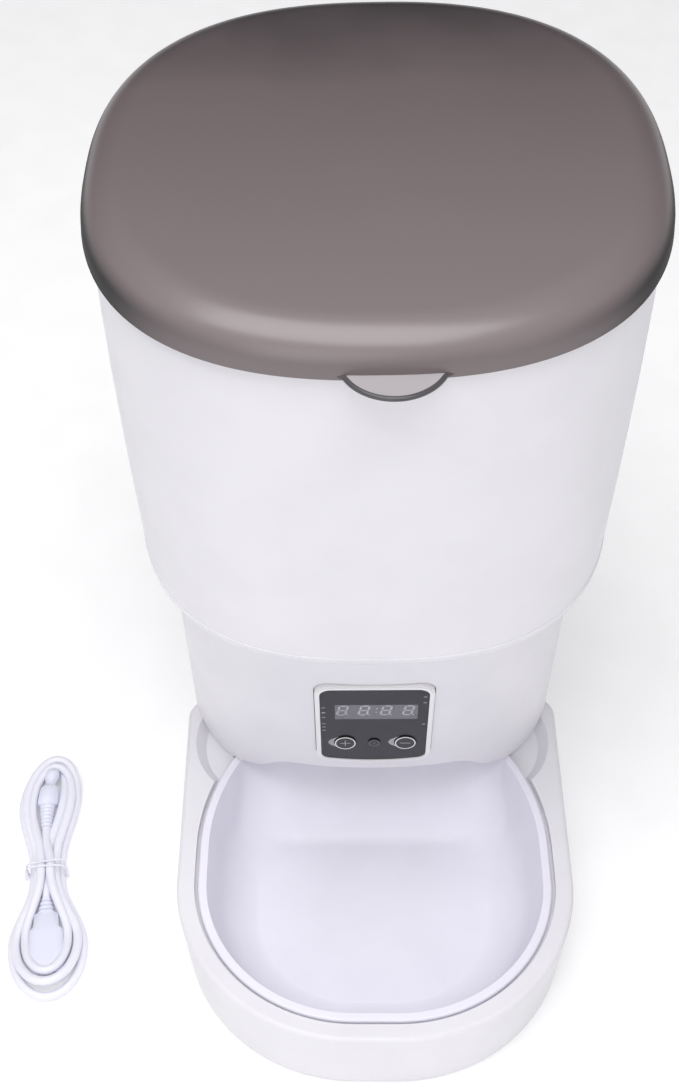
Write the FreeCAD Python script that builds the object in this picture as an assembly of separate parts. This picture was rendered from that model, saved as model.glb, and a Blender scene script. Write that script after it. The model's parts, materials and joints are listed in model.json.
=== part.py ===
import FreeCAD, Part
import math
import os
from FreeCAD import Placement, Rotation, Vector

# Automatic pet feeder: a tapered food hopper with a lift-off lid stands on a necked base.
# A motor turns a vaned dosing wheel under the hopper, and food drops down a chute, out of the
# mouth under the control panel and into a bowl that sits in the tray at the front.
# Millimetres, +Z up, front towards -Y. The pieces are drawn about the hopper's vertical axis and
# moved back by AXIS_Y, so that the origin is on the ground in the middle of the feeder.

os.makedirs("parts", exist_ok=True)

# ---- driving dimensions -------------------------------------------------------------------
LID_HALF_W = 113.0
LID_HALF_D = 118.3
LID_BOTTOM_Z = 346.1
LID_SKIRT_H = 2.4
LID_ROUND = 14.2
LID_WALL = 2.2
TAB_X = 5.0
TAB_HALF_W = 20.0
TAB_REACH = 11.5
SECTION_POWER = 2.44
HOPPER_WALL = 2.6
RIM_HALF_W = 110.0
RIM_HALF_D = 115.3
SEAM_Z = 192.6
SEAM_STEP = 0.5
SEAM_HALF_W = 104.8
SEAM_HALF_D = 112.5
SEAM_POWER = 2.6
SEAM_Y = -1.7
NECK_TOP_Z = 176.0
NECK_HALF_W = (93.1, 94.8)
NECK_HALF_D = (78.5, 97.3)
NECK_POWER = (2.33, 2.56)
NECK_Y = (1.8, -1.0)
SHELL = 2.5
TRAY_TOP = 46.6
TRAY_HALF_W = 94.8
TRAY_FRONT = -213.4
TRAY_CORNER = 84.8
TRAY_BACK = -17.7
TRAY_BACK_CORNER = 11.8
TRAY_DRAFT = 2.9
AXIS_Y = -(TRAY_FRONT + LID_HALF_D) / 2

FOOT_H = 2.5
COVER_TOP = 4.0
BOWL_FLOOR = 10.0
BOWL_WALL = 2.2
BOWL_RIM_Z = 45.8
BOWL_HALF_W = 84.6
BOWL_BACK = -45.0
BOWL_RIM_H = 3.2
BOWL_RIM_W = 4.2
BOWL_GAP = 1.6
RECESS_FLOOR = 6.5
LEDGE_Z = 42.4
LEDGE_INSET = 0.6
LEDGE_BACK = -57.0
REAR_LEDGE_Z = 38.0
POCKET_X = 59.0
POCKET_Y = -45.2
POCKET_HALF_W = 31.0
POCKET_HALF_D = 35.4
POCKET_FLOOR = 41.0
POCKET_SLOPE = 5.0
POCKET_SKIN = 2.3

CUP_R = 52.0
CUP_WALL = 2.5
CUP_FLOOR_Z = 140.0
CUP_FLOOR_T = 2.5
DECK_Z = 183.0
THROAT_R = 52.0
FUNNEL_Z = (197.0, 235.0)
SHAFT_R = 3.0
RUNNING = 0.05

GEAR_MODULE = 1.0
FINE_MODULE = 0.8
OUTPUT_TEETH = 32
IDLER_SMALL_TEETH = 10
IDLER_LARGE_TEETH = 36
PINION_TEETH = 12
OUTPUT_Z = (123.0, 132.0)
FINE_Z = (113.5, 120.0)
IDLER_Y = GEAR_MODULE * (OUTPUT_TEETH + IDLER_SMALL_TEETH) / 2
MOTOR_Y = IDLER_Y + FINE_MODULE * (IDLER_LARGE_TEETH + PINION_TEETH) / 2
GEARBOX_TOP = CUP_FLOOR_Z - CUP_FLOOR_T
GEARBOX_FLOOR = 106.0
MOTOR_R = 12.2
MOTOR_LENGTH = 32.0

PANEL_Z = 114.0
PANEL_TILT = 9.9
PANEL_HALF_W = 24.6
PANEL_HALF_H = 35.0
PANEL_CORNER = 5.0
PANEL_SAG = 2.3
BEZEL_RIM = 2.4
BEZEL_GAP = 0.4
BEZEL_FRONT = 1.0
BEZEL_BACK = -4.0
LENS_FRONT = 0.5
LENS_BACK = -1.3
BOARD_FACE = -7.5
BOARD_T = 1.6
SOCKET_H = 3.5
INNER_SHIFT = 0.8
DISPLAY_HALF = (19.2, 7.2)
DISPLAY_V = 13.7
BUTTON_X = 14.1
BUTTON_V = -16.4
BUTTON_HALF = (5.0, 6.1)
POWER_HALF = (2.8, 3.3)
BUTTON_PLAY = 0.25
BUTTON_LIP = 0.8
SWITCH_FACE = -4.1

CELL_R = 17.1
CELL_LENGTH = 61.5
CELL_PITCH = 35.0
CELL_Z = 24.0
CELL_Y = 27.0
DOOR_HALF_W = 54.0
DOOR_TOP = 4.2

HANK_X = -167.0
HANK_Y = -98.5
HANK_TURN = 6.7
HANK_H = 13.5

SECTION_POINTS = 40
UP = Vector(0, 0, 1)
nodes = {}


# ---- helpers ------------------------------------------------------------------------------
def export(name, shape):
    """Move a piece from the hopper's axis to the feeder's frame and write its STEP file."""
    moved = shape.copy()
    moved.translate(Vector(0, AXIS_Y, 0))
    nodes[name] = moved
    moved.exportStep(os.path.join("parts", name + ".step"))


def squircle(half_w, half_d, power, z, centre_y=0.0):
    """Closed rounded-square wire at height z, from the superellipse formula."""
    points = []
    for k in range(SECTION_POINTS):
        angle = 2 * math.pi * k / SECTION_POINTS
        c, s = math.cos(angle), math.sin(angle)
        r = (abs(c / half_w) ** power + abs(s / half_d) ** power) ** (-1 / power)
        points.append(Vector(r * c, centre_y + r * s, z))
    curve = Part.BSplineCurve()
    curve.interpolate(Points=points, PeriodicFlag=True)
    return Part.Wire(curve.toShape())


def loft(wires, ruled=False):
    return Part.makeLoft(wires, True, ruled)


def fuse(shapes):
    """Union of several solids, with shared faces merged."""
    return shapes[0].fuse(shapes[1:]).removeSplitter()


def cut(shape, *tools):
    return shape.cut(list(tools))


def cylinder(r, z0, z1, x=0.0, y=0.0):
    return Part.makeCylinder(r, z1 - z0, Vector(x, y, z0), UP)


def cone(r0, r1, z0, z1, x=0.0, y=0.0):
    return Part.makeCone(r0, r1, z1 - z0, Vector(x, y, z0), UP)


def pipe(r_out, r_in, z0, z1, x=0.0, y=0.0):
    return cylinder(r_out, z0, z1, x, y).cut(cylinder(r_in, z0 - 1, z1 + 1, x, y))


def oval(x, y, half_w, half_d, z):
    """Elliptical wire, longer front to back than across."""
    centre = Vector(x, y, z)
    ends = centre + Vector(0, half_d, 0), centre + Vector(half_w, 0, 0)
    return Part.Wire(Part.Ellipse(*ends, centre).toShape())


def box(x0, x1, y0, y1, z0, z1):
    return Part.makeBox(x1 - x0, y1 - y0, z1 - z0, Vector(x0, y0, z0))


def mix(pair, t):
    return pair[0] + (pair[1] - pair[0]) * t


def arc(a, b, c):
    return Part.Arc(a, b, c).toShape()


def arc_about(cx, cy, r, start, end, z):
    """Arc of radius r about (cx, cy) from one angle to another, in degrees."""
    ends = [math.radians(a) for a in (start, (start + end) / 2, end)]
    return arc(*[Vector(cx + r * math.cos(a), cy + r * math.sin(a), z) for a in ends])


def line(a, b):
    return Part.LineSegment(a, b).toShape()


def closed_wire(edges):
    """Wire of edges given in order, with straight lines put across the gaps between them."""
    out = []
    for edge, after in zip(edges, edges[1:] + edges[:1]):
        out.append(edge)
        end, start = edge.Vertexes[-1].Point, after.Vertexes[0].Point
        if end.distanceToPoint(start) > 1e-6:
            out.append(line(end, start))
    return Part.Wire(Part.__sortEdges__(out))


def prism(wire, height, direction=UP):
    return Part.Face(wire).extrude(direction * height)


def path_wire(points):
    """Straight runs joined by the largest tangent arcs that 0.45 of the shorter run allows."""
    edges, start, radii = [], points[0], []
    for before, corner, after in zip(points, points[1:], points[2:]):
        to_last, to_next = (before - corner), (after - corner)
        reach = 0.45 * min(to_last.Length, to_next.Length)
        first = corner + to_last.normalize() * reach
        last = corner + to_next.normalize() * reach
        half_turn = (math.pi - to_last.getAngle(to_next)) / 2
        radius = reach / math.tan(half_turn)
        middle_way = (to_last + to_next).normalize()
        middle = corner + middle_way * (math.hypot(radius, reach) - radius)
        edges.append(line(start, first))
        edges.append(arc(first, middle, last))
        radii.append(round(radius, 1))
        start = last
    edges.append(line(start, points[-1]))
    return Part.Wire(edges), radii


def tube(points, radius):
    """Round wire or lead along a route of straight runs and tangent arcs."""
    spine, radii = path_wire([Vector(*p) for p in points])
    way = spine.Edges[0].tangentAt(spine.Edges[0].FirstParameter)
    section = Part.Wire(Part.makeCircle(radius, spine.Edges[0].Vertexes[0].Point, way))
    solid = spine.makePipeShell([section], True, False)
    expected = math.pi * radius**2 * spine.Length
    print(f"tube radii {radii}, volume {solid.Volume:.0f} of {expected:.0f}")
    return solid


# ---- outer sections -----------------------------------------------------------------------
def hopper_section(z, inset=0.0):
    """Hopper wall outline: widest at the rim, drawn in towards the seam."""
    t = (1 - (z - SEAM_Z) / (LID_BOTTOM_Z - SEAM_Z)) ** 2
    half_w = mix((RIM_HALF_W, SEAM_HALF_W - SEAM_STEP), t) - inset
    half_d = mix((RIM_HALF_D, SEAM_HALF_D - SEAM_STEP), t) - inset
    return squircle(half_w, half_d, mix((SECTION_POWER, SEAM_POWER), t), z, SEAM_Y * t)


def neck_section(z, inset=0.0):
    """Neck outline: nearly upright at the sides, its front leaning out towards the top."""
    t = (z - TRAY_TOP) / (NECK_TOP_Z - TRAY_TOP)
    half_w, half_d = mix(NECK_HALF_W, t) - inset, mix(NECK_HALF_D, t) - inset
    return squircle(half_w, half_d, mix(NECK_POWER, t), z, mix(NECK_Y, t))


def shoulder_section(t, inset=0.0):
    """Rounded shoulder between the neck's top (t = 0) and the seam (t = 1)."""
    z = mix((NECK_TOP_Z, SEAM_Z), t)
    out = math.sin(t * math.pi / 2)
    half_w = mix((NECK_HALF_W[1], SEAM_HALF_W), out) - inset
    half_d = mix((NECK_HALF_D[1], SEAM_HALF_D), out) - inset
    power = mix((NECK_POWER[1], SEAM_POWER), out)
    return squircle(half_w, half_d, power, z, mix((NECK_Y[1], SEAM_Y), out))


def tray_outline(z, inset=0.0):
    """U-shaped tray outline: round front, straight sides, small rear corners."""
    half_w, front, back = TRAY_HALF_W - inset, TRAY_FRONT + inset, TRAY_BACK - inset
    big, small = TRAY_CORNER - inset, TRAY_BACK_CORNER - inset / 2
    edges = [
        arc_about(-half_w + big, front + big, big, 180, 270, z),
        arc_about(half_w - big, front + big, big, 270, 360, z),
        arc_about(half_w - small, back - small, small, 0, 90, z),
        arc_about(-half_w + small, back - small, small, 90, 180, z),
    ]
    return closed_wire(edges)


def bowl_outline(z, inset=0.0, back=BOWL_BACK, back_corner=20.0):
    """Bowl outline: the tray's round front, sides drawn in on long arcs, rounded rear."""
    half_w = BOWL_HALF_W - inset
    front_x = TRAY_HALF_W - TRAY_CORNER
    front_y = TRAY_FRONT + TRAY_CORNER
    front_r = half_w - front_x
    side_r, side_y = 108.0 - inset, -110.0
    side_x = half_w - side_r
    rise = back - back_corner - side_y
    run = math.sqrt((side_r - back_corner) ** 2 - rise**2)
    turn = math.degrees(math.atan2(rise, run))
    corner_x, corner_y = side_x + run, back - back_corner
    edges = [
        arc_about(-front_x, front_y, front_r, 180, 270, z),
        arc_about(front_x, front_y, front_r, 270, 360, z),
        arc_about(side_x, side_y, side_r, 0, turn, z),
        arc_about(corner_x, corner_y, back_corner, turn, 90, z),
        arc_about(-corner_x, corner_y, back_corner, 90, 180 - turn, z),
        arc_about(-side_x, side_y, side_r, 180 - turn, 180, z),
    ]
    return closed_wire(edges)


# ---- lid ----------------------------------------------------------------------------------
def lid_dome(inset, drop):
    """Solid dome: a short skirt, then a round shoulder up to the flat top."""
    low = LID_BOTTOM_Z - (0.0 if drop == 0 else 1.0)
    rows = [(low, 0.0), (LID_BOTTOM_Z + LID_SKIRT_H - drop, 0.4)]
    steps = 5
    for k in range(1, steps + 1):
        turn = math.radians(82) * k / steps
        z = LID_BOTTOM_Z + LID_SKIRT_H - drop + LID_ROUND * math.sin(turn)
        rows.append((z, 0.4 + 1.25 * LID_ROUND * (1 - math.cos(turn))))
    wires = []
    for z, drawn_in in rows:
        narrow = inset + drawn_in
        wires.append(squircle(LID_HALF_W - narrow, LID_HALF_D - narrow, SECTION_POWER, z))
    return loft(wires)


def finger_tab(z0, z1):
    """Thin curved lip at the lid's front edge."""
    x0, x1, y = TAB_X - TAB_HALF_W, TAB_X + TAB_HALF_W, -LID_HALF_D + 1.5
    rim = arc(Vector(x0, y, z0), Vector(TAB_X, y - TAB_REACH, z0), Vector(x1, y, z0))
    wire = closed_wire([rim, line(Vector(x1, y + 5, z0), Vector(x0, y + 5, z0))])
    return prism(wire, z1 - z0)


def make_lid():
    """Translucent dome with a rib that carries the seal, and the finger tab."""
    shell = cut(lid_dome(0.0, 0.0), lid_dome(LID_WALL, LID_WALL))
    rib_out = squircle(RIM_HALF_W - 5.0, RIM_HALF_D - 5.0, SECTION_POWER, LID_BOTTOM_Z - 2.0)
    rib_in = squircle(RIM_HALF_W - 7.0, RIM_HALF_D - 7.0, SECTION_POWER, LID_BOTTOM_Z - 3.0)
    rib = cut(prism(rib_out, 20.0), prism(rib_in, 22.0))
    inside = lid_dome(0.1, 0.1)
    tab = finger_tab(LID_BOTTOM_Z, LID_BOTTOM_Z + 1.8)
    tab = cut(tab, prism(squircle(LID_HALF_W - 1, LID_HALF_D - 1, SECTION_POWER, 340), 20))
    below = cut(rib, box(-150, 150, -150, 150, LID_BOTTOM_Z, 400))
    return fuse([shell, rib.common(inside), below, tab])


def make_lid_seal():
    """Soft ring on the lid's rib; it meets the inside of the hopper's rim."""
    z0, z1 = LID_BOTTOM_Z - 1.6, LID_BOTTOM_Z + 1.4
    outer = squircle(RIM_HALF_W - 2.9, RIM_HALF_D - 2.9, SECTION_POWER, z0)
    inner = squircle(RIM_HALF_W - 5.0, RIM_HALF_D - 5.0, SECTION_POWER, z0 - 1)
    return cut(prism(outer, z1 - z0), prism(inner, z1 - z0 + 2))


# ---- hopper -------------------------------------------------------------------------------
def make_hopper():
    """Food tank: tapered wall, funnel floor down to a round throat, locating collar."""
    heights = [SEAM_Z, 210.0, 235.0, 270.0, 310.0, LID_BOTTOM_Z + 1.8]
    outer = loft([hopper_section(z) for z in heights])
    inner = loft([hopper_section(z, HOPPER_WALL) for z in [SEAM_Z] + heights[1:-1] + [350.0]])
    wall = cut(outer, inner)
    funnel_outer = loft([squircle(THROAT_R + 2.7, THROAT_R + 2.7, 2.0, FUNNEL_Z[0] - 3.0),
                         squircle(106.6, 114.2, 2.5, FUNNEL_Z[1] - 3.0, -0.9)], True)
    funnel_inner = loft([squircle(THROAT_R, THROAT_R, 2.0, FUNNEL_Z[0]),
                         squircle(106.6, 114.2, 2.5, FUNNEL_Z[1], -0.9)], True)
    edge = squircle(106.6, 114.2, 2.5, FUNNEL_Z[1] - 3.0, -0.9)
    solid_floor = funnel_outer.fuse(prism(edge, 3.0)).common(outer)
    funnel = cut(solid_floor, funnel_inner, cylinder(THROAT_R, 180, 210))
    collar = pipe(THROAT_R + 2.2, THROAT_R, DECK_Z + 3.0, FUNNEL_Z[0] + 0.6)
    return fuse([wall, funnel, collar])


def make_outlet_shield():
    """Sloped cover over the outlet: food can reach it only between the wheel's vanes."""
    z0, z1 = DECK_Z + 4.0, DECK_Z + 6.0
    disc = cylinder(THROAT_R, z0, z1)
    wedge_points = [(0, 8), (-80, -62), (80, -62)]
    wedge = Part.makePolygon([Vector(x, y, z0 - 1) for x, y in wedge_points + wedge_points[:1]])
    plate = disc.common(prism(wedge, 4))
    lip = pipe(THROAT_R, THROAT_R - 2.0, z0, z1 + 5.0).common(prism(wedge, 20))
    return fuse([plate, lip])


# ---- base ---------------------------------------------------------------------------------
def shoulder_solid(inset):
    return loft([shoulder_section(k / 5, inset) for k in range(6)])


def neck_solid(z0, inset):
    return loft([neck_section(z, inset) for z in (z0, 90.0, 133.0, NECK_TOP_Z)])


def mouth_prism():
    """Arched opening in the neck's front wall, over the bowl."""
    y0 = -110.0
    profile = [(-66, 40), (-65, 48.5), (-57, 53.5), (-46, 65), (-30, 69.3), (0, 70.2)]
    profile += [(-x, z) for x, z in profile[-2::-1]]
    curve = Part.BSplineCurve()
    curve.interpolate(Points=[Vector(x, y0, z) for x, z in profile])
    base = line(Vector(66, y0, 40), Vector(-66, y0, 40))
    return prism(Part.Wire([curve.toShape(), base]), 75.0, Vector(0, 1, 0))


def panel_place(shape):
    """Put a shape drawn in the panel's own plane (x across, y up, z outwards) on the neck."""
    t = (PANEL_Z - TRAY_TOP) / (NECK_TOP_Z - TRAY_TOP)
    y = mix(NECK_Y, t) - mix(NECK_HALF_D, t)
    placed = shape.copy()
    tilt = Rotation(Vector(1, 0, 0), 90 + PANEL_TILT)
    placed.Placement = Placement(Vector(0, y, PANEL_Z), tilt).multiply(placed.Placement)
    return placed


def panel_outline(grow, z):
    """Rounded panel outline whose lower edge is bowed."""
    side, r = PANEL_HALF_W + grow, PANEL_CORNER + grow
    high, low = PANEL_HALF_H + grow, -PANEL_HALF_H - grow + PANEL_SAG
    edges = [
        arc_about(side - r, high - r, r, 0, 90, z),
        arc_about(-side + r, high - r, r, 90, 180, z),
        arc_about(-side + r, low + r, r, 180, 262, z),
    ]
    left = edges[-1].Vertexes[-1].Point
    right = Vector(-left.x, left.y, z)
    edges.append(arc(left, Vector(0, low - PANEL_SAG, z), right))
    edges.append(arc_about(side - r, low + r, r, 278, 360, z))
    return closed_wire(edges)


def panel_prism(grow, z0, z1):
    return prism(panel_outline(grow, z0), z1 - z0)


def make_neck_housing():
    """Upper housing: rounded shoulder, neck, deck that carries the dosing cup, mouth."""
    outer = fuse([neck_solid(TRAY_TOP, 0.0), shoulder_solid(0.0)])
    inner = fuse([neck_solid(TRAY_TOP, SHELL), shoulder_solid(SHELL)])
    shell = cut(outer, inner)
    slab = box(-130, 130, -130, 130, DECK_Z, DECK_Z + 3.0)
    deck = cut(outer.common(slab), cylinder(57.5, 170, 200))
    lip = cut(box(-44, 44, -88, -69, 70.4, 72.4).common(outer), box(-50, 50, -200, -100, 60, 80))
    body = fuse([shell, deck, lip])
    window = panel_place(panel_prism(BEZEL_RIM + BEZEL_GAP, -8.0, 12.0))
    jack_hole = Part.makeCylinder(4.6, 40, Vector(30, 60, 60), Vector(0, 1, 0))
    screw_ways = [cylinder(1.7, DECK_Z - 5, DECK_Z + 8, x, y) for x, y in cup_screw_places()]
    return cut(body, mouth_prism(), window, jack_hole, *screw_ways)


def finger_dishes(grow, drop):
    """Shallow oval dishes at both sides, where the bowl meets the neck, with sloping walls."""
    floor, top = POCKET_FLOOR - drop, TRAY_TOP + 0.1
    shapes = []
    for x in (-POCKET_X, POCKET_X):
        half_w, half_d = POCKET_HALF_W + grow, POCKET_HALF_D + grow
        low = oval(x, POCKET_Y, half_w - POCKET_SLOPE, half_d - POCKET_SLOPE, floor)
        shapes.append(loft([low, oval(x, POCKET_Y, half_w, half_d, top)], True))
    in_front = box(-120, 120, -120, TRAY_BACK + grow, 0, 100)
    return shapes[0].fuse(shapes[1]).common(in_front)


def bowl_recess():
    """Room for the bowl: a ledge under its rim, lower at the rear where the rim dips in tipping."""
    back, corner, top = BOWL_BACK + 14.0, 24.0, TRAY_TOP + 20.0
    body = prism(bowl_outline(RECESS_FLOOR, LEDGE_INSET, back, corner), top - RECESS_FLOOR)
    rim = prism(bowl_outline(LEDGE_Z, -BOWL_GAP, back, corner), top - LEDGE_Z)
    rear = prism(bowl_outline(REAR_LEDGE_Z, -BOWL_GAP, back, corner), top - REAR_LEDGE_Z)
    return fuse([body, rim, rear.common(box(-120, 120, LEDGE_BACK, 0, 0, 100))])


def make_base_tray():
    """Lower housing: U-shaped tray in front, the neck's foot behind, recess for the bowl."""
    low = FOOT_H - 1.5
    tray = loft([tray_outline(low, TRAY_DRAFT), tray_outline(TRAY_TOP)], True)
    rims = [e for e in tray.Edges if all(abs(v.Z - TRAY_TOP) < 1e-3 for v in e.Vertexes)]
    tray = tray.makeFillet(2.2, rims)
    foot_wires = [squircle(92.2, 77.8, NECK_POWER[0], low, NECK_Y[0]), neck_section(TRAY_TOP)]
    foot = loft(foot_wires, True)
    outer = fuse([tray, foot])
    hollow_tray = prism(tray_outline(low - 2, TRAY_DRAFT + SHELL), TRAY_TOP - SHELL - low + 2)
    hollow_foot = prism(squircle(89.7, 75.2, NECK_POWER[0], low - 2, NECK_Y[0]),
                        TRAY_TOP - SHELL - low + 2)
    hollow = fuse([hollow_tray, hollow_foot])
    recess_shell = prism(bowl_outline(RECESS_FLOOR - 2.0, -BOWL_GAP - 2.2, BOWL_BACK + 16.2, 26.0),
                         TRAY_TOP - RECESS_FLOOR)
    under_neck = neck_solid(TRAY_TOP, SHELL - 0.5)
    under_neck.translate(Vector(0, 0, POCKET_FLOOR - TRAY_TOP - POCKET_SKIN))
    dishes = cut(finger_dishes(0.0, 0.0), under_neck)
    grown = finger_dishes(POCKET_SKIN, POCKET_SKIN).fuse(recess_shell)
    body = cut(outer, hollow.cut(grown.common(outer)))
    posts = [cylinder(3.8, COVER_TOP, TRAY_TOP - 1.0, x, y) for x, y in cover_screw_places()]
    pilots = [cylinder(1.5, 0, 16.0, x, y) for x, y in cover_screw_places()]
    wire_hole = cylinder(5.0, 30, 60, 61, 20)
    door_way = box(-DOOR_HALF_W - 0.5, DOOR_HALF_W + 0.5, 60, 100, 0, DOOR_TOP + 0.6)
    body = fuse([body] + posts)
    return cut(body, bowl_recess(), dishes, wire_hole, door_way, *pilots)


def bowl_rows(side):
    """Heights, insets and rear positions of the bowl's sections, inside or outside."""
    drop = -BOWL_WALL if side == "outside" else 0.0
    grow = BOWL_WALL * 0.9 if side == "outside" else 0.0
    rows = []
    for depth, inset, ramp in ((0, BOWL_RIM_W, 4.0), (9, 7.0, 9.0), (21, 10.5, 20.0), (30, 16.5, 30.0),
                               (BOWL_RIM_Z - BOWL_FLOOR, 29.0, 44.0)):
        rows.append((BOWL_RIM_Z - depth + drop, inset - grow, BOWL_BACK - ramp + grow))
    return rows


def bowl_loft(rows, raised=None):
    wires = [bowl_outline(z, inset, back, 20.0) for z, inset, back in rows]
    if raised is not None:
        z, inset, back = rows[0]
        wires.insert(0, bowl_outline(raised, inset - 0.6, back + 0.8, 20.0))
    return loft(wires)


def make_bowl():
    """Removable bowl: flat rolled rim, smooth walls and a ramp up to the rear."""
    rim = prism(bowl_outline(BOWL_RIM_Z - BOWL_RIM_H), BOWL_RIM_H)
    top = [e for e in rim.Edges if all(abs(v.Z - BOWL_RIM_Z) < 1e-3 for v in e.Vertexes)]
    rim = rim.makeFillet(1.3, top)
    body = bowl_loft(bowl_rows("outside"))
    return cut(rim.fuse(body), bowl_loft(bowl_rows("inside"), BOWL_RIM_Z + 2.0)).removeSplitter()


# ---- food path ----------------------------------------------------------------------------
def sector(r, half_angle, z0, z1):
    """Wedge of a disc that opens towards the front."""
    a = math.radians(half_angle)
    left = Vector(-r * math.sin(a), -r * math.cos(a), z0)
    right = Vector(-left.x, left.y, z0)
    centre = Vector(0, 0, z0)
    rim = arc(left, Vector(0, -r, z0), right)
    return prism(Part.Wire([line(centre, left), rim, line(right, centre)]), z1 - z0)


def cup_screw_places():
    turn = [math.radians(45 + 90 * k) for k in range(4)]
    return [(59.5 * math.cos(a), 59.5 * math.sin(a)) for a in turn]


def make_dosing_cup():
    """Round well for the wheel, with a flange on the deck and the outlet in its floor."""
    floor_low = CUP_FLOOR_Z - CUP_FLOOR_T
    wall = pipe(CUP_R + CUP_WALL, CUP_R, floor_low, DECK_Z + 3.0)
    floor = cylinder(CUP_R + 0.5, floor_low, CUP_FLOOR_Z)
    flange = pipe(64.0, THROAT_R + 2.8, DECK_Z + 3.0, DECK_Z + 5.0)
    seat = pipe(57.0, CUP_R, DECK_Z - 4.0, DECK_Z + 3.0)
    body = fuse([wall, floor, flange, seat])
    outlet = sector(CUP_R - 2.5, 27, floor_low - 1, CUP_FLOOR_Z + 1)
    outlet = cut(outlet, cylinder(24.0, floor_low - 2, CUP_FLOOR_Z + 2))
    bush_hole = cylinder(5.0, floor_low - 1, CUP_FLOOR_Z + 1)
    screw_ways = [cylinder(1.7, DECK_Z, DECK_Z + 8, x, y) for x, y in cup_screw_places()]
    return cut(body, outlet, bush_hole, *screw_ways)


def rectangle(x, y0, y1, z):
    corners = [Vector(-x, y0, z), Vector(x, y0, z), Vector(x, y1, z), Vector(-x, y1, z)]
    return Part.makePolygon(corners + corners[:1])


def make_food_chute():
    """Flared chute from the outlet down to the mouth; its front wall stops above the chin."""
    top, low, wall = CUP_FLOOR_Z - CUP_FLOOR_T, 48.5, 1.8
    outer = loft([rectangle(58, -75, -49, low), rectangle(27, -53.5, -22.5, top)], True)
    inner = loft([rectangle(58 - wall, -75 + wall, -49 - wall, low - 0.01),
                  rectangle(27 - wall, -53.5 + wall, -22.5 - wall, top + 0.01)], True)
    front_gap = box(-70, 70, -100, -62, 40, 73)
    within_neck = neck_solid(TRAY_TOP, SHELL + 0.5)
    return cut(outer, inner, front_gap).common(within_neck)


# ---- dosing wheel and gear train ----------------------------------------------------------
def gear_wire(teeth, module, z, phase=0.0):
    """Straight-flanked teeth, thinned a little for backlash, with a tooth at the phase angle."""
    pitch_r = module * teeth / 2
    pitch_angle = 2 * math.pi / teeth
    flank = [(-0.34, pitch_r - 1.2 * module), (-0.12, pitch_r + 0.9 * module)]
    points = []
    for k in range(teeth):
        centre = math.radians(phase) + k * pitch_angle
        for part, r in flank + [(-p, r) for p, r in flank[::-1]]:
            angle = centre + part * pitch_angle
            points.append(Vector(r * math.cos(angle), r * math.sin(angle), z))
    return Part.makePolygon(points + points[:1])


def gear(teeth, module, z0, z1, y, phase):
    shape = prism(gear_wire(teeth, module, z0, phase), z1 - z0)
    shape.translate(Vector(0, y, 0))
    return shape


def make_output_gear():
    """Gear on the drive shaft, with a tooth pointing at the idler."""
    body = fuse([gear(OUTPUT_TEETH, GEAR_MODULE, *OUTPUT_Z, 0, 90), cylinder(6.0, 132.0, 134.0)])
    return cut(body, cylinder(SHAFT_R, 100, 150))


def make_idler_gear():
    """Compound gear: its small wheel drives the output gear and the pinion turns its large one."""
    half_pitch = 180.0 / IDLER_SMALL_TEETH
    small = gear(IDLER_SMALL_TEETH, GEAR_MODULE, OUTPUT_Z[0], OUTPUT_Z[1], IDLER_Y, -90 + half_pitch)
    large = gear(IDLER_LARGE_TEETH, FINE_MODULE, FINE_Z[0], FINE_Z[1], IDLER_Y, 90)
    hub = cylinder(3.6, FINE_Z[0] - 4.0, OUTPUT_Z[1] + 1.5, 0, IDLER_Y)
    return cut(fuse([small, large, hub]), cylinder(1.5 + RUNNING, 100, 150, 0, IDLER_Y))


def make_pinion():
    """Small gear pressed on the motor's shaft, with a gap between teeth at the idler's tooth."""
    body = gear(PINION_TEETH, FINE_MODULE, 112.5, 120.8, MOTOR_Y, -90 + 180.0 / PINION_TEETH)
    return cut(body, cylinder(1.0, 100, 130, 0, MOTOR_Y))


def make_gearbox_case():
    """Open-topped box for the gears, with bearings for the shaft and the idler's pin."""
    outer = box(-21, 21, -21, 54, GEARBOX_FLOOR, GEARBOX_TOP - 2.5)
    inner = box(-19, 19, -19, 52, GEARBOX_FLOOR + 2, GEARBOX_TOP)
    boss = cylinder(5.5, GEARBOX_FLOOR + 1, 112.0)
    places = case_screw_places()
    posts = [cylinder(3.2, GEARBOX_FLOOR + 1, GEARBOX_TOP - 2.5, x, y) for x, y in places]
    body = fuse([cut(outer, inner), boss] + posts)
    holes = [cylinder(SHAFT_R + RUNNING, 100, 120), cylinder(1.5, 100, 112, 0, IDLER_Y),
             cylinder(4.0, 100, 112, 0, MOTOR_Y)]
    holes += [cylinder(0.9, 122, 140, x, y) for x, y in places]
    return cut(body, *holes)


def case_screw_places():
    return [(-16, -16), (16, -16), (-16, 49), (16, 49)]


def make_gearbox_cover():
    """Flat cover screwed to the case; the cup's floor rests on it."""
    plate = box(-21, 21, -21, 54, GEARBOX_TOP - 2.5, GEARBOX_TOP)
    holes = [cylinder(5.0, 130, 140), cylinder(1.5, 130, 136.5, 0, IDLER_Y)]
    for x, y in case_screw_places():
        holes.append(cylinder(1.2, 130, 140, x, y))
        holes.append(cylinder(2.3, GEARBOX_TOP - 1.4, 140, x, y))
    return cut(plate, *holes)


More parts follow.
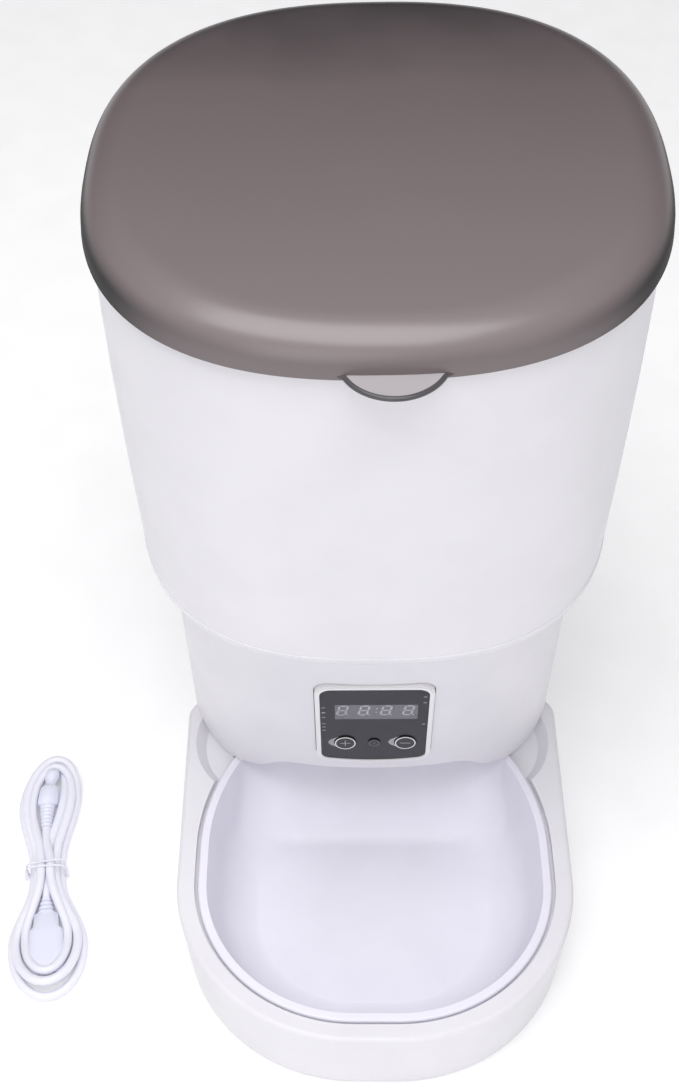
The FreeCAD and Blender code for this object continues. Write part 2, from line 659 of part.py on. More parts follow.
def make_motor():
    """Small d.c. motor under the gearbox: can, front boss, shaft and two terminals."""
    low = GEARBOX_FLOOR - MOTOR_LENGTH
    can = cylinder(MOTOR_R, low, GEARBOX_FLOOR, 0, MOTOR_Y)
    can = can.makeFillet(1.5, [e for e in can.Edges if e.Vertexes[0].Z < low + 1 and e.Length > 5])
    cap = cylinder(5.0, low - 1.8, low, 0, MOTOR_Y)
    boss = cylinder(3.9, GEARBOX_FLOOR, GEARBOX_FLOOR + 2.5, 0, MOTOR_Y)
    tags = [box(x - 0.4, x + 0.4, MOTOR_Y - 1.5, MOTOR_Y + 1.5, low - 5, low) for x in (-8, 8)]
    return fuse([can, cap, boss] + tags)


def make_motor_shaft():
    """Motor shaft, which turns with the pinion."""
    return cylinder(1.0, GEARBOX_FLOOR + 2.6, 120.8, 0, MOTOR_Y)


def make_wheel_hub():
    """Hub of the dosing wheel: a domed cap on a sleeve, driven by the shaft."""
    sleeve = cylinder(13.9, CUP_FLOOR_Z + 1.0, 180.0)
    dome = cone(13.9, 7.0, 180.0, 184.5)
    return cut(fuse([sleeve, dome]), cylinder(SHAFT_R, 100, 172.0))


def make_vanes():
    """Flexible wheel of six vanes on a sleeve round the hub."""
    z0, z1 = CUP_FLOOR_Z + 1.0, 181.0
    ring = cylinder(16.0, z0, 178.0)
    blades = []
    for k in range(6):
        blade = box(14.5, CUP_R - 0.8, -1.0, 1.0, z0, z1)
        blade.rotate(Vector(0, 0, 0), UP, 60 * k)
        blades.append(blade)
    return cut(fuse([ring] + blades), cylinder(13.9, 100, 200))


def make_drive_shaft():
    return cylinder(SHAFT_R, GEARBOX_FLOOR + 0.5, 172.0)


def make_bushing():
    """Flanged bush that carries the shaft in the cup's floor."""
    sleeve = cylinder(5.0, GEARBOX_TOP - 2.5, CUP_FLOOR_Z)
    flange = cylinder(7.0, CUP_FLOOR_Z, CUP_FLOOR_Z + 0.8)
    return cut(fuse([sleeve, flange]), cylinder(SHAFT_R + RUNNING, 100, 150))


# ---- control panel ------------------------------------------------------------------------
BUTTONS = {"plus_button": (INNER_SHIFT - BUTTON_X, BUTTON_HALF),
           "minus_button": (INNER_SHIFT + BUTTON_X, BUTTON_HALF),
           "power_button": (0.3, POWER_HALF)}
BOARD_SCREWS = [(-20.0, 29.0), (20.0, 29.0), (-20.0, -28.5), (20.0, -28.5)]


def button_prism(name, grow, z0, z1):
    """Oval of one button, drawn in the panel's plane."""
    x, (half_w, half_h) = BUTTONS[name]
    return prism(oval(x, BUTTON_V, half_w + grow, half_h + grow, z0), z1 - z0)


def make_bezel():
    """Frame round the panel, with a ledge for the lens and posts for the board."""
    ring = cut(panel_prism(BEZEL_RIM, BEZEL_BACK, BEZEL_FRONT),
               panel_prism(0.15, BEZEL_BACK - 1, 3))
    ledge = cut(panel_prism(0.4, BEZEL_BACK, LENS_BACK), panel_prism(-1.4, BEZEL_BACK - 1, 0))
    posts = [cylinder(2.2, BOARD_FACE, LENS_BACK, x, v) for x, v in BOARD_SCREWS]
    ties = [cylinder(4.3, BEZEL_BACK, LENS_BACK, x, v) for x, v in BOARD_SCREWS]
    inside = panel_prism(0.4, BEZEL_BACK - 10, LENS_BACK)
    corners = fuse(posts + [t.common(inside) for t in ties])
    pilot = [cylinder(0.8, BOARD_FACE - 1, -3.0, x, v) for x, v in BOARD_SCREWS]
    step = cut(panel_prism(5, BEZEL_FRONT - 0.5, 3), panel_prism(BEZEL_RIM - 0.7, 0, 4))
    rim = cut(ring, step)
    return panel_place(cut(fuse([rim, ledge, corners]), *pilot))


def make_lens():
    """Dark panel plate with holes for the three buttons."""
    holes = [button_prism(name, BUTTON_PLAY, -5, 5) for name in BUTTONS]
    return panel_place(cut(panel_prism(0.0, LENS_BACK, LENS_FRONT), *holes))


def make_button(name):
    """Button cap with a lip behind the lens and a stem over its switch."""
    top = LENS_FRONT + 0.7
    cap = button_prism(name, 0.0, -2.0, top)
    cap = cap.makeFillet(0.4, [e for e in cap.Edges if e.Vertexes[0].Z > LENS_FRONT])
    lip = button_prism(name, BUTTON_LIP, -2.7, LENS_BACK - 0.2)
    stem = cylinder(1.4, SWITCH_FACE + 0.9, -2.0, BUTTONS[name][0], BUTTON_V)
    return panel_place(fuse([cap, lip, stem]))


def make_display():
    """Four-digit display module between the lens and its board."""
    half_w, half_h = DISPLAY_HALF
    low, high = DISPLAY_V - half_h, DISPLAY_V + half_h
    left, right = INNER_SHIFT - half_w, INNER_SHIFT + half_w
    return panel_place(box(left, right, low, high, BOARD_FACE, LENS_BACK - 0.1))


def make_display_board():
    """Board behind the panel, with its screw holes and a connector on its back."""
    back = BOARD_FACE - BOARD_T
    plate = box(-22.5, 22.5, -31.0, 31.5, back, BOARD_FACE)
    holes = [cylinder(1.1, -20, 0, x, v) for x, v in BOARD_SCREWS]
    socket = box(-18, -8, 2, 7, back - SOCKET_H, back)
    return panel_place(fuse([cut(plate, *holes), socket]))


def make_tact_switches():
    """Three push switches on the display board, one behind each button."""
    shapes = []
    half, low, high = 3.0, BUTTON_V - 3.0, BUTTON_V + 3.0
    for x, _ in BUTTONS.values():
        body = box(x - half, x + half, low, high, BOARD_FACE, SWITCH_FACE - 0.5)
        plunger = cylinder(1.6, SWITCH_FACE - 0.8, SWITCH_FACE, x, BUTTON_V)
        shapes.append(panel_place(fuse([body, plunger])))
    return Part.makeCompound(shapes)


def make_board_screws():
    back = BOARD_FACE - BOARD_T
    shapes = []
    for x, v in BOARD_SCREWS:
        head = cylinder(1.9, back - 1.3, back, x, v)
        shapes.append(panel_place(fuse([head, cylinder(0.8, back, -3.2, x, v)])))
    return Part.makeCompound(shapes)


# ---- power and electronics ----------------------------------------------------------------
def make_main_board():
    """Upright control board at the back of the neck, with its chip, relay and sockets."""
    y = 66.0
    plate = box(-36, 20, y, y + 1.6, 84, 148)
    chip = box(-20, -6, y - 1.8, y, 108, 122)
    can = Part.makeCylinder(4, 11, Vector(8, y, 100), Vector(0, -1, 0))
    coil = box(-30, -22, y - 7, y, 90, 100)
    sockets = [box(x, x + 8, y - 5, y, 134, 141) for x in (-30, -12, 6)]
    return fuse([plate, chip, can, coil] + sockets)


def make_power_jack():
    """Round power socket in the back wall, with its centre pin."""
    body = box(24.5, 35.5, 60, 74, 54.5, 65.5)
    way = Vector(0, 1, 0)
    nose = Part.makeCylinder(4.3, 5.6, Vector(30, 74, 60), way)
    bore = Part.makeCylinder(2.9, 12.0, Vector(30, 70, 60), way)
    pin = Part.makeCylinder(1.0, 9.0, Vector(30, 69.5, 60), way)
    return fuse([cut(fuse([body, nose]), bore), pin])


def cell_places():
    return [(k - 1) * CELL_PITCH for k in range(3)]


def make_cell(x):
    """One D cell lying front to back, with the nub at its rear."""
    way = Vector(0, 1, 0)
    y0 = CELL_Y - CELL_LENGTH / 2
    can = Part.makeCylinder(CELL_R, CELL_LENGTH - 1.5, Vector(x, y0, CELL_Z), way)
    can = can.makeFillet(1.2, [e for e in can.Edges if e.Length > 50])
    nub = Part.makeCylinder(4.7, 1.5, Vector(x, y0 + CELL_LENGTH - 1.5, CELL_Z), way)
    return fuse([can, nub])


def make_battery_contacts():
    """Flat rear plates and conical front springs, one pair to a cell."""
    shapes = []
    front, rear = CELL_Y - CELL_LENGTH / 2, CELL_Y + CELL_LENGTH / 2
    for x in cell_places():
        shapes.append(box(x - 9, x + 9, rear, rear + 0.8, CELL_Z - 9, CELL_Z + 9))
        plate = box(x - 10, x + 10, front - 6.0, front - 5.2, CELL_Z - 10, CELL_Z + 10)
        stack = [plate]
        for k in range(4):
            r = 7.5 - 1.0 * k
            centre = Vector(x, front - 4.7 + 0.9 * k, CELL_Z)
            stack.append(Part.makeTorus(r, 0.7, centre, Vector(0, 1, 0)))
        shapes.append(fuse(stack))
    return Part.makeCompound(shapes)


def make_bottom_cover():
    """Floor of the base, with the battery bay's walls and the door's opening."""
    draw = TRAY_DRAFT + SHELL + 0.3
    plate = prism(tray_outline(FOOT_H, draw), COVER_TOP - FOOT_H)
    rear = prism(squircle(89.4, 74.9, NECK_POWER[0], FOOT_H, NECK_Y[0]), COVER_TOP - FOOT_H)
    plate = fuse([plate, rear])
    half_x, y0, y1 = DOOR_HALF_W + 3.0, CELL_Y - 39.5, CELL_Y + 35.5
    bay = cut(box(-half_x, half_x, y0, y1, FOOT_H, 43.6),
              box(-half_x + 2, half_x - 2, y0 + 2, y1 - 2, 0, 41.6))
    opening = box(-DOOR_HALF_W - 0.5, DOOR_HALF_W + 0.5, y0 + 4, 120, 0, DOOR_TOP + 0.4)
    feet = [cylinder(8.3, 0, 3.2, x, y) for x, y in foot_places()]
    screws = [cylinder(1.8, 0, 20, x, y) for x, y in cover_screw_places()]
    return cut(fuse([plate, bay]), opening, *feet, *screws)


def make_battery_door():
    """Sliding door under the cells; it draws out to the rear."""
    x, y0, y1 = DOOR_HALF_W, CELL_Y - 35.0, CELL_Y + 47.0
    plate = box(-x, x, y0, y1, FOOT_H, DOOR_TOP)
    outline = prism(squircle(89.0, 74.5, NECK_POWER[0], 0, NECK_Y[0]), 10)
    grips = [box(-14, 14, y1 - 24 + 4 * k, y1 - 22 + 4 * k, 0, FOOT_H + 0.6) for k in range(3)]
    return cut(plate.common(outline), *grips)


def foot_places():
    return [(-72, -120), (72, -120), (-66, 32), (66, 32)]


def make_feet():
    """Four round rubber feet set into the bottom cover."""
    shapes = []
    for x, y in foot_places():
        pad = cylinder(8.0, 0, 3.2, x, y)
        low = [e for e in pad.Edges if e.Vertexes[0].Z < 0.1 and e.Length > 20]
        shapes.append(pad.makeFillet(0.6, low))
    return Part.makeCompound(shapes)


def cover_screw_places():
    return [(-78, -3), (78, -3), (-66, 52), (66, 52)]


def screw(x, y, head_r, head_z, head_h, tip_z, shank_r):
    """Screw along Z: its head starts at head_z and its shank runs to tip_z."""
    head = cylinder(head_r, head_z, head_z + head_h, x, y)
    z0, z1 = sorted((head_z + head_h / 2, tip_z))
    return fuse([head, cylinder(shank_r, z0, z1, x, y)])


# ---- cable in a hank on the floor ---------------------------------------------------------
def hank_place(shape):
    """Put a shape drawn with the hank's length along y at its place beside the base."""
    placed = shape.copy()
    turn = Rotation(UP, HANK_TURN)
    placed.Placement = Placement(Vector(HANK_X, HANK_Y, 0), turn).multiply(placed.Placement)
    return placed


def ellipse_prism(half_u, half_v, v, height):
    """Elliptical block standing on the floor."""
    big, small = max(half_u, half_v), min(half_u, half_v)
    ellipse = Part.Ellipse(Vector(0, 0, 0), big, small)
    shape = prism(Part.Wire(ellipse.toShape()), height)
    if half_v > half_u:
        shape.rotate(Vector(0, 0, 0), UP, 90)
    shape.translate(Vector(0, v, 0))
    return shape


DC_PLUG_V = 62.0
USB_PLUG_V = -18.0
PLUG_Z = 6.5


def round_plug_parts():
    """Barrel, collar, grip and strain relief of the round plug, tip towards +v."""
    way = Vector(0, -1, 0)
    z = PLUG_Z + 1.0
    barrel = Part.makeCylinder(2.75, 10.0, Vector(0, DC_PLUG_V, z), way)
    bore = Part.makeCylinder(1.1, 9.0, Vector(0, DC_PLUG_V + 0.01, z), way)
    collar = Part.makeCylinder(4.3, 3.0, Vector(0, DC_PLUG_V - 10.0, z), way)
    grip = Part.makeCylinder(5.5, 9.5, Vector(0, DC_PLUG_V - 13.0, z), way)
    grip = grip.makeFillet(1.2, [e for e in grip.Edges if e.Length > 30])
    relief = Part.makeCone(4.0, 2.7, 15.0, Vector(0, DC_PLUG_V - 22.5, z), way)
    return fuse([cut(barrel, bore), collar, grip, relief])


def usb_plug_parts():
    """Flat plug: strain relief, stepped grip and metal shell, tip towards -v."""
    z = PLUG_Z
    relief = Part.makeCone(2.7, 4.0, 8.0, Vector(0, USB_PLUG_V, z), Vector(0, -1, 0))
    neck = box(-6.6, 6.6, USB_PLUG_V - 18.0, USB_PLUG_V - 7.5, z - 3.8, z + 3.8)
    grip = box(-8.0, 8.0, USB_PLUG_V - 34.5, USB_PLUG_V - 17.0, z - 4.2, z + 4.2)
    along = [e for e in grip.Edges if abs(e.tangentAt(e.FirstParameter).y) > 0.9]
    grip = grip.makeFillet(2.0, along)
    shell = box(-6.0, 6.0, USB_PLUG_V - 47.0, USB_PLUG_V - 34.0, z - 2.25, z + 2.25)
    hollow = box(-5.6, 5.6, USB_PLUG_V - 48.0, USB_PLUG_V - 36.0, z - 0.4, z + 1.9)
    return fuse([relief, neck, grip, cut(shell, hollow)])


def make_hank():
    """Outer shape of the folded cable: two open lobes and a tied waist."""
    upper = ellipse_prism(16.5, 36.5, 40.5, HANK_H)
    lower = ellipse_prism(20.5, 37.0, -36.0, HANK_H)
    waist = box(-9.5, 9.5, -16, 16, 0, HANK_H)
    holes = [ellipse_prism(7.5, 25.0, 43.0, 40), ellipse_prism(10.8, 22.0, -36.0, 40)]
    body = cut(fuse([upper, lower, waist]), *holes)
    around = cut(box(-30, 30, -2.4, 2.4, -1, 30), box(-9.1, 9.1, -3, 3, 0.9, HANK_H - 0.9))
    return cut(body, round_plug_parts(), usb_plug_parts(), around)


def make_cable_tie():
    """Twisted tie round the hank's waist."""
    return cut(box(-10.0, 10.0, -2.2, 2.2, 0, HANK_H), box(-9.1, 9.1, -3, 3, 0.9, HANK_H - 0.9))


# ---- write every piece --------------------------------------------------------------------
def write_hopper_group():
    export("lid", make_lid())
    export("lid_seal", make_lid_seal())
    export("hopper", make_hopper())
    export("outlet_shield", make_outlet_shield())


def write_base_group():
    export("neck_housing", make_neck_housing())
    export("base_tray", make_base_tray())
    export("bowl", make_bowl())
    export("bottom_cover", make_bottom_cover())
    export("battery_door", make_battery_door())
    export("rubber_feet", make_feet())
    export("dosing_cup", make_dosing_cup())
    export("food_chute", make_food_chute())


def write_drive_group():
    export("wheel_hub", make_wheel_hub())
    export("wheel_vanes", make_vanes())
    export("drive_shaft", make_drive_shaft())
    export("shaft_bushing", make_bushing())
    export("output_gear", make_output_gear())
    export("idler_gear", make_idler_gear())
    export("idler_pin", cylinder(1.5, GEARBOX_FLOOR + 0.2, 136.0, 0, IDLER_Y))
    export("motor_pinion", make_pinion())
    export("motor_shaft", make_motor_shaft())
    export("motor", make_motor())
    export("gearbox_case", make_gearbox_case())
    export("gearbox_cover", make_gearbox_cover())


def write_panel_group():
    export("panel_bezel", make_bezel())
    export("panel_lens", make_lens())
    export("display_module", make_display())
    export("display_board", make_display_board())
    export("tact_switches", make_tact_switches())
    export("board_screws", make_board_screws())
    for name in BUTTONS:
        export(name, make_button(name))


def write_power_group():
    export("main_board", make_main_board())
    export("power_jack", make_power_jack())
    for k, x in enumerate(cell_places()):
        export(f"battery_{k + 1}", make_cell(x))
    export("battery_contacts", make_battery_contacts())


def write_fasteners():
    cup = [screw(x, y, 2.8, DECK_Z + 5.0, 1.8, DECK_Z - 4.0, 1.5) for x, y in cup_screw_places()]
    export("cup_screws", Part.makeCompound(cup))
    case = [screw(x, y, 2.1, GEARBOX_TOP - 1.4, 1.3, 124.0, 0.9) for x, y in case_screw_places()]
    export("gearbox_screws", Part.makeCompound(case))
    cover = [screw(x, y, 3.0, FOOT_H - 1.4, 1.4, 14.0, 1.5) for x, y in cover_screw_places()]
    export("cover_screws", Part.makeCompound(cover))


def write_wiring():
    """Leads between the boards, the motor and the cells."""
    motor = [(-8, MOTOR_Y, 69), (-8, MOTOR_Y + 1, 60), (-8, 50, 53), (-8, 60, 58), (-8, 62, 75),
             (-8, 62, 104), (-8, 63.5, 134)]
    export("motor_leads", tube(motor, 1.1))
    panel = [(-13, -75.9, 120.6), (-15, -70, 121.6), (-29, -67.5, 120.5), (-52, -54, 117),
             (-64, -24, 110), (-62, 10, 112), (-48, 38, 121), (-30, 51, 134), (-27, 61, 137.5)]
    export("panel_leads", tube(panel, 1.4))
    battery = [(61, 20, 30), (61, 20, 74), (55, 40, 102), (40, 55.5, 121), (21, 57.5, 133.5),
               (10.5, 61, 137.5)]
    export("battery_leads", tube(battery, 1.3))


def write_cable():
    export("cable_hank", hank_place(make_hank()))
    export("cable_tie", hank_place(make_cable_tie()))
    export("dc_plug", hank_place(round_plug_parts()))
    export("usb_plug", hank_place(usb_plug_parts()))


write_hopper_group()
write_base_group()
write_drive_group()
write_panel_group()
write_power_group()
write_fasteners()
write_wiring()
write_cable()
for name, shape in nodes.items():
    if not shape.isValid() or shape.Volume <= 0:
        print("not valid:", name)
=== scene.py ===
import json
import math

import bpy
from mathutils import Euler, Matrix, Vector


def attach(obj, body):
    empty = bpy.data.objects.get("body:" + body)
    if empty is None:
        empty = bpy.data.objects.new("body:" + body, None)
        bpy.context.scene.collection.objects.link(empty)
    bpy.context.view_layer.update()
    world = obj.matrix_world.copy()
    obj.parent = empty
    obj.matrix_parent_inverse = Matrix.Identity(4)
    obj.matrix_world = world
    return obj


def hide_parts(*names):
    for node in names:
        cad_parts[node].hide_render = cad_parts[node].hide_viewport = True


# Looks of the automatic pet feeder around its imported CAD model. Metres, +Z up, front towards -Y.

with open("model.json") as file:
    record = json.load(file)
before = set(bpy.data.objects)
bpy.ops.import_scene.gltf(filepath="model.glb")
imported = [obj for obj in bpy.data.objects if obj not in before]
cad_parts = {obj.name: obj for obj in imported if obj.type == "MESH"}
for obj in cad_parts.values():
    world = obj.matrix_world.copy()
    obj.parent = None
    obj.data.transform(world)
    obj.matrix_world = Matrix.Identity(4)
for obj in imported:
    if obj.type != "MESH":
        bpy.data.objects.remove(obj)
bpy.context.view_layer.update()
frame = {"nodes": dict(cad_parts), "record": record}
nodes = frame["nodes"]
MM = 0.001

# ---- camera -------------------------------------------------------------------------------
CAMERA_AT = Vector((-0.0116, -0.4906, 0.7034))
CAMERA_YAW = math.radians(-2.78)
CAMERA_PITCH = math.radians(49.69)
CAMERA_ROLL = math.radians(-2.53)
CAMERA_SENSOR, CAMERA_LENS = 36.0, 53.14
CAMERA_SHIFT = (0.0383, 0.0942)
CAMERA_CLIP = (0.01, 50.0)


def make_camera():
    """Camera above and in front of the feeder, turned a little and level to within a few degrees."""
    data = bpy.data.cameras.new("camera")
    data.sensor_width, data.lens = CAMERA_SENSOR, CAMERA_LENS
    data.shift_x, data.shift_y = CAMERA_SHIFT
    data.clip_start, data.clip_end = CAMERA_CLIP
    camera = bpy.data.objects.new("camera", data)
    bpy.context.scene.collection.objects.link(camera)
    aim = Euler((math.radians(90) - CAMERA_PITCH, 0.0, -CAMERA_YAW)).to_matrix()
    aim = aim @ Matrix.Rotation(CAMERA_ROLL, 3, "Z")
    camera.matrix_world = Matrix.Translation(CAMERA_AT) @ aim.to_4x4()
    bpy.context.scene.camera = camera


# ---- materials ----------------------------------------------------------------------------
# sizes of features and depths of relief are in metres, as an object's own coordinates are
GRAIN_SIZE, GRAIN_DEPTH, GRAIN_DETAIL = 0.0005, 0.000003, 2.0
DRIFT_SIZE = 0.02
CLOUD_SIZE, CLOUD_CHANGE = 0.03, 0.02
METAL_CLOUD_SIZE, METAL_CLOUD_CHANGE = 0.004, 0.08
METAL_LINE_SIZE, METAL_LINE_DEPTH, METAL_LINE_DETAIL = 0.0015, 0.00002, 4.0
METAL_STRETCH = (1.0, 1.0, 12.0)
METAL_ROUGH = (0.25, 0.4)


class Surface:
    """One procedural material: a Principled shader and the nodes that vary it over the piece."""

    def __init__(self, name, ior=1.46, **sockets):
        self.material = bpy.data.materials.new(name)
        self.material.use_nodes = True
        self.tree = self.material.node_tree
        self.shader = self.tree.nodes["Principled BSDF"]
        self.shader.inputs["IOR"].default_value = ior
        for socket, value in sockets.items():
            self.shader.inputs[socket.replace("_", " ")].default_value = value
        self.place = self.tree.nodes.new("ShaderNodeTexCoord").outputs["Object"]

    def node(self, kind, **settings):
        made = self.tree.nodes.new(kind)
        for key, value in settings.items():
            setattr(made, key, value)
        return made

    def link(self, output, target):
        self.tree.links.new(output, target)

    def noise(self, size, detail=3.0, stretch=None):
        """Noise whose features are about this size, in metres."""
        noise = self.node("ShaderNodeTexNoise")
        noise.inputs["Scale"].default_value = 1.0 / size
        noise.inputs["Detail"].default_value = detail
        source = self.place
        if stretch is not None:
            mapping = self.node("ShaderNodeMapping")
            mapping.inputs["Scale"].default_value = stretch
            self.link(source, mapping.inputs["Vector"])
            source = mapping.outputs["Vector"]
        self.link(source, noise.inputs["Vector"])
        return noise.outputs["Fac"]

    def spread(self, value, low, high, start=0.22, end=0.78, kind="SMOOTHSTEP"):
        """Map a value to the range low to high, levelling out gently at both ends."""
        scale = self.node("ShaderNodeMapRange", interpolation_type=kind)
        scale.inputs["From Min"].default_value = start
        scale.inputs["From Max"].default_value = end
        scale.inputs["To Min"].default_value = low
        scale.inputs["To Max"].default_value = high
        self.link(value, scale.inputs["Value"])
        return scale.outputs["Result"]

    def colours(self, value, *stops):
        """Colour that runs evenly through the stops as value goes from 0 to 1."""
        ramp = self.node("ShaderNodeValToRGB")
        elements = ramp.color_ramp.elements
        for k in range(1, len(stops) - 1):
            elements.new(k / (len(stops) - 1))
        for element, stop in zip(elements, stops):
            element.color = (*stop, 1.0)
        self.link(value, ramp.inputs["Fac"])
        return ramp.outputs["Color"]

    def along(self, axis):
        """One coordinate of the piece, in metres."""
        split = self.node("ShaderNodeSeparateXYZ")
        self.link(self.place, split.inputs["Vector"])
        return split.outputs[axis]

    def times(self, first, second):
        product = self.node("ShaderNodeMath", operation="MULTIPLY")
        self.link(first, product.inputs[0])
        self.link(second, product.inputs[1])
        return product.outputs["Value"]

    def mixed(self, amount, first, second):
        """Colour between two others; amount 0 gives the first."""
        mix = self.node("ShaderNodeMix", data_type="RGBA")
        colour_inputs = [i for i in mix.inputs if i.type == "RGBA"]
        self.link(amount, mix.inputs["Factor"])
        self.link(first, colour_inputs[0])
        self.link(second, colour_inputs[1])
        return [o for o in mix.outputs if o.type == "RGBA"][0]

    def bumped(self, height, distance):
        """Fine relief from a height that runs from 0 to 1, this deep in metres."""
        made = self.node("ShaderNodeBump")
        made.inputs["Distance"].default_value = distance
        self.link(height, made.inputs["Height"])
        self.link(made.outputs["Normal"], self.shader.inputs["Normal"])

    def rough(self, value, *spans):
        """Roughness that follows a value, from the low to the high that spread() takes."""
        self.link(self.spread(value, *spans), self.shader.inputs["Roughness"])

    def mottled(self, colour, change, size):
        """Base colour with a faint cloudiness, as in a moulded part."""
        light = [min(1.0, c * (1 + change)) for c in colour]
        dark = [c * (1 - change) for c in colour]
        value = self.spread(self.noise(size), 0.0, 1.0)
        self.link(self.colours(value, dark, light), self.shader.inputs["Base Color"])


def moulded(name, colour, rough, change=CLOUD_CHANGE, **sockets):
    """Moulded plastic with a fine grain and a roughness that drifts a little."""
    made = Surface(name, **sockets)
    made.mottled(colour, change, CLOUD_SIZE)
    made.bumped(made.noise(GRAIN_SIZE, GRAIN_DETAIL), GRAIN_DEPTH)
    made.rough(made.noise(DRIFT_SIZE), *rough)
    return made.material


def metal(name, colour):
    """Metal with fine drawn or turned lines."""
    made = Surface(name, Metallic=1.0)
    made.mottled(colour, METAL_CLOUD_CHANGE, METAL_CLOUD_SIZE)
    lines = made.noise(METAL_LINE_SIZE, METAL_LINE_DETAIL, METAL_STRETCH)
    made.bumped(lines, METAL_LINE_DEPTH)
    made.rough(lines, *METAL_ROUGH)
    return made.material


SMOKE_IOR, SMOKE_GRAIN_DEPTH = 1.6, 0.000002
SMOKE_CLOUD_SIZE, SMOKE_CLOUD = 0.05, (0.96, 1.04)
# the smoked plastic's colours from the lid's front to its back, darkening as painted shade, and those of its
# thick edge, dark partly from its thickness and partly as painted shade
SMOKE_AND_SHADE_COLOURS = ((0.205, 0.168, 0.172), (0.168, 0.137, 0.140), (0.128, 0.101, 0.103), (0.018, 0.016, 0.018))
EDGE_SHADE_COLOURS = ((0.014, 0.013, 0.014), (0.016, 0.015, 0.016))
SMOKE_ROUGH, EDGE_ROUGH = 0.28, 0.75
# metres: the lid's front and back; where the edge's painted shade fades out upwards; and where, going back,
# it grows from its share at the lit front to the whole
LID_FRONT_Y, LID_BACK_Y = -0.0707, 0.1659
EDGE_FADE_Z = (0.3520, 0.3584)
EDGE_FADE_Y = (LID_FRONT_Y + 0.006, LID_FRONT_Y + 0.05)
EDGE_AT_FRONT = 0.2


def smoked():
    """Smoked lid with painted shade: the colour darkens towards the back, and the thick edge, dark partly
    from its thickness, is painted darker still at the sides and back.
    """
    made = Surface("smoke_plastic", ior=SMOKE_IOR)
    # painted shade: the colour runs from the lighter front to the dark back of the lid
    depth = made.spread(made.along("Y"), 0.0, 1.0, LID_FRONT_Y, LID_BACK_Y, "LINEAR")
    cloud = made.spread(made.noise(SMOKE_CLOUD_SIZE), *SMOKE_CLOUD)
    body = made.colours(made.times(depth, cloud), *SMOKE_AND_SHADE_COLOURS)
    # painted shade in the thick edge: full low down at the sides and back, only a share of it at the lit
    # front; the edge's thickness gives part of the dark
    edge = made.spread(made.along("Z"), 1.0, 0.0, *EDGE_FADE_Z)
    away = made.spread(made.along("Y"), EDGE_AT_FRONT, 1.0, *EDGE_FADE_Y)
    edge_shade = made.times(edge, away)
    dark = made.colours(cloud, *EDGE_SHADE_COLOURS)
    made.link(made.mixed(edge_shade, body, dark), made.shader.inputs["Base Color"])
    made.bumped(made.noise(GRAIN_SIZE, GRAIN_DETAIL), SMOKE_GRAIN_DEPTH)
    made.rough(edge_shade, SMOKE_ROUGH, EDGE_ROUGH, 0.0, 1.0)
    return made.material


SATIN, EVEN = (0.35, 0.45), (0.3, 0.4)
# colour, least and greatest roughness, and anything else that differs, of each moulded finish
PLASTICS = {
    "clear_silicone": ((0.75, 0.75, 0.73), (0.4, 0.5), {"Subsurface_Weight": 0.3, "Subsurface_Scale": 0.002}),
    "white_plastic": ((0.785, 0.775, 0.81), SATIN, {}),
    "bowl_plastic": ((0.83, 0.815, 0.90), SATIN, {}),
    "gloss_white": ((0.84, 0.84, 0.85), (0.12, 0.18), {}),
    "panel_dark": ((0.012, 0.0115, 0.014), (0.2, 0.28), {"ior": 1.4}),
    "grey_plastic": ((0.45, 0.45, 0.47), SATIN, {}),
    "black_plastic": ((0.03, 0.03, 0.033), SATIN, {}),
    "gear_plastic": ((0.82, 0.79, 0.68), EVEN, {}),
    "grey_rubber": ((0.30, 0.30, 0.31), (0.7, 0.85), {}),
    "board_green": ((0.03, 0.17, 0.07), (0.25, 0.35), {}),
    "cell_wrap": ((0.14, 0.17, 0.23), (0.2, 0.3), {}),
    "lead_jacket": ((0.45, 0.05, 0.04), SATIN, {}),
    "cable_white": ((0.84, 0.84, 0.92), EVEN, {}),
    "plug_white": ((0.77, 0.78, 0.90), EVEN, {}),
    "tab_web": ((0.41, 0.385, 0.40), EVEN, {}),
    "tab_bead": ((0.075, 0.071, 0.076), (0.28, 0.36), {}),
    "display_grey": ((0.145, 0.145, 0.165), (0.2, 0.3), {"change": 0.06}),
    "segment_grey": ((0.42, 0.42, 0.42), EVEN, {"change": 0.15}),
    # the light grey below colours real print and also the painted highlight crescents beside the buttons
    "print_and_highlight_grey": ((0.36, 0.36, 0.37), (0.4, 0.5), {"change": 0.1}),
    "print_dim": ((0.15, 0.15, 0.155), (0.4, 0.5), {"change": 0.1}),
}
METALS = {"steel": (0.66, 0.66, 0.68), "brass": (0.72, 0.55, 0.25)}

finishes = {"smoke_plastic": smoked()}
for name, (colour, rough, more) in PLASTICS.items():
    finishes[name] = moulded(name, colour, rough, **more)
for name, colour in METALS.items():
    finishes[name] = metal(name, colour)


def finish_nodes():
    """Give each CAD node the finish of its slot in the record."""
    for part in frame["record"]["subparts"]:
        mesh = nodes[part["node"]].data
        mesh.materials.clear()
        mesh.materials.append(finishes[part["material_slot"]])


# ---- shapes -------------------------------------------------------------------------------
# a swept bar's rings are turned by this direction, which no path follows
SWEEP_UP, SWEEP_SIDES = Vector((0.3, 0.1, 1.0)), 10


def add_piece(name, points, faces, body, slot, finish=None, smooth_below=30):
    """Mesh piece riding on a body, smooth where its faces meet at less than the given angle."""
    mesh = bpy.data.meshes.new(name)
    mesh.from_pydata([tuple(p) for p in points], [], faces)
    mesh.materials.append(finishes[finish or slot])
    mesh.shade_smooth()
    mesh.set_sharp_from_angle(angle=math.radians(smooth_below))
    piece = bpy.data.objects.new(name, mesh)
    bpy.context.scene.collection.objects.link(piece)
    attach(piece, body)
    return piece


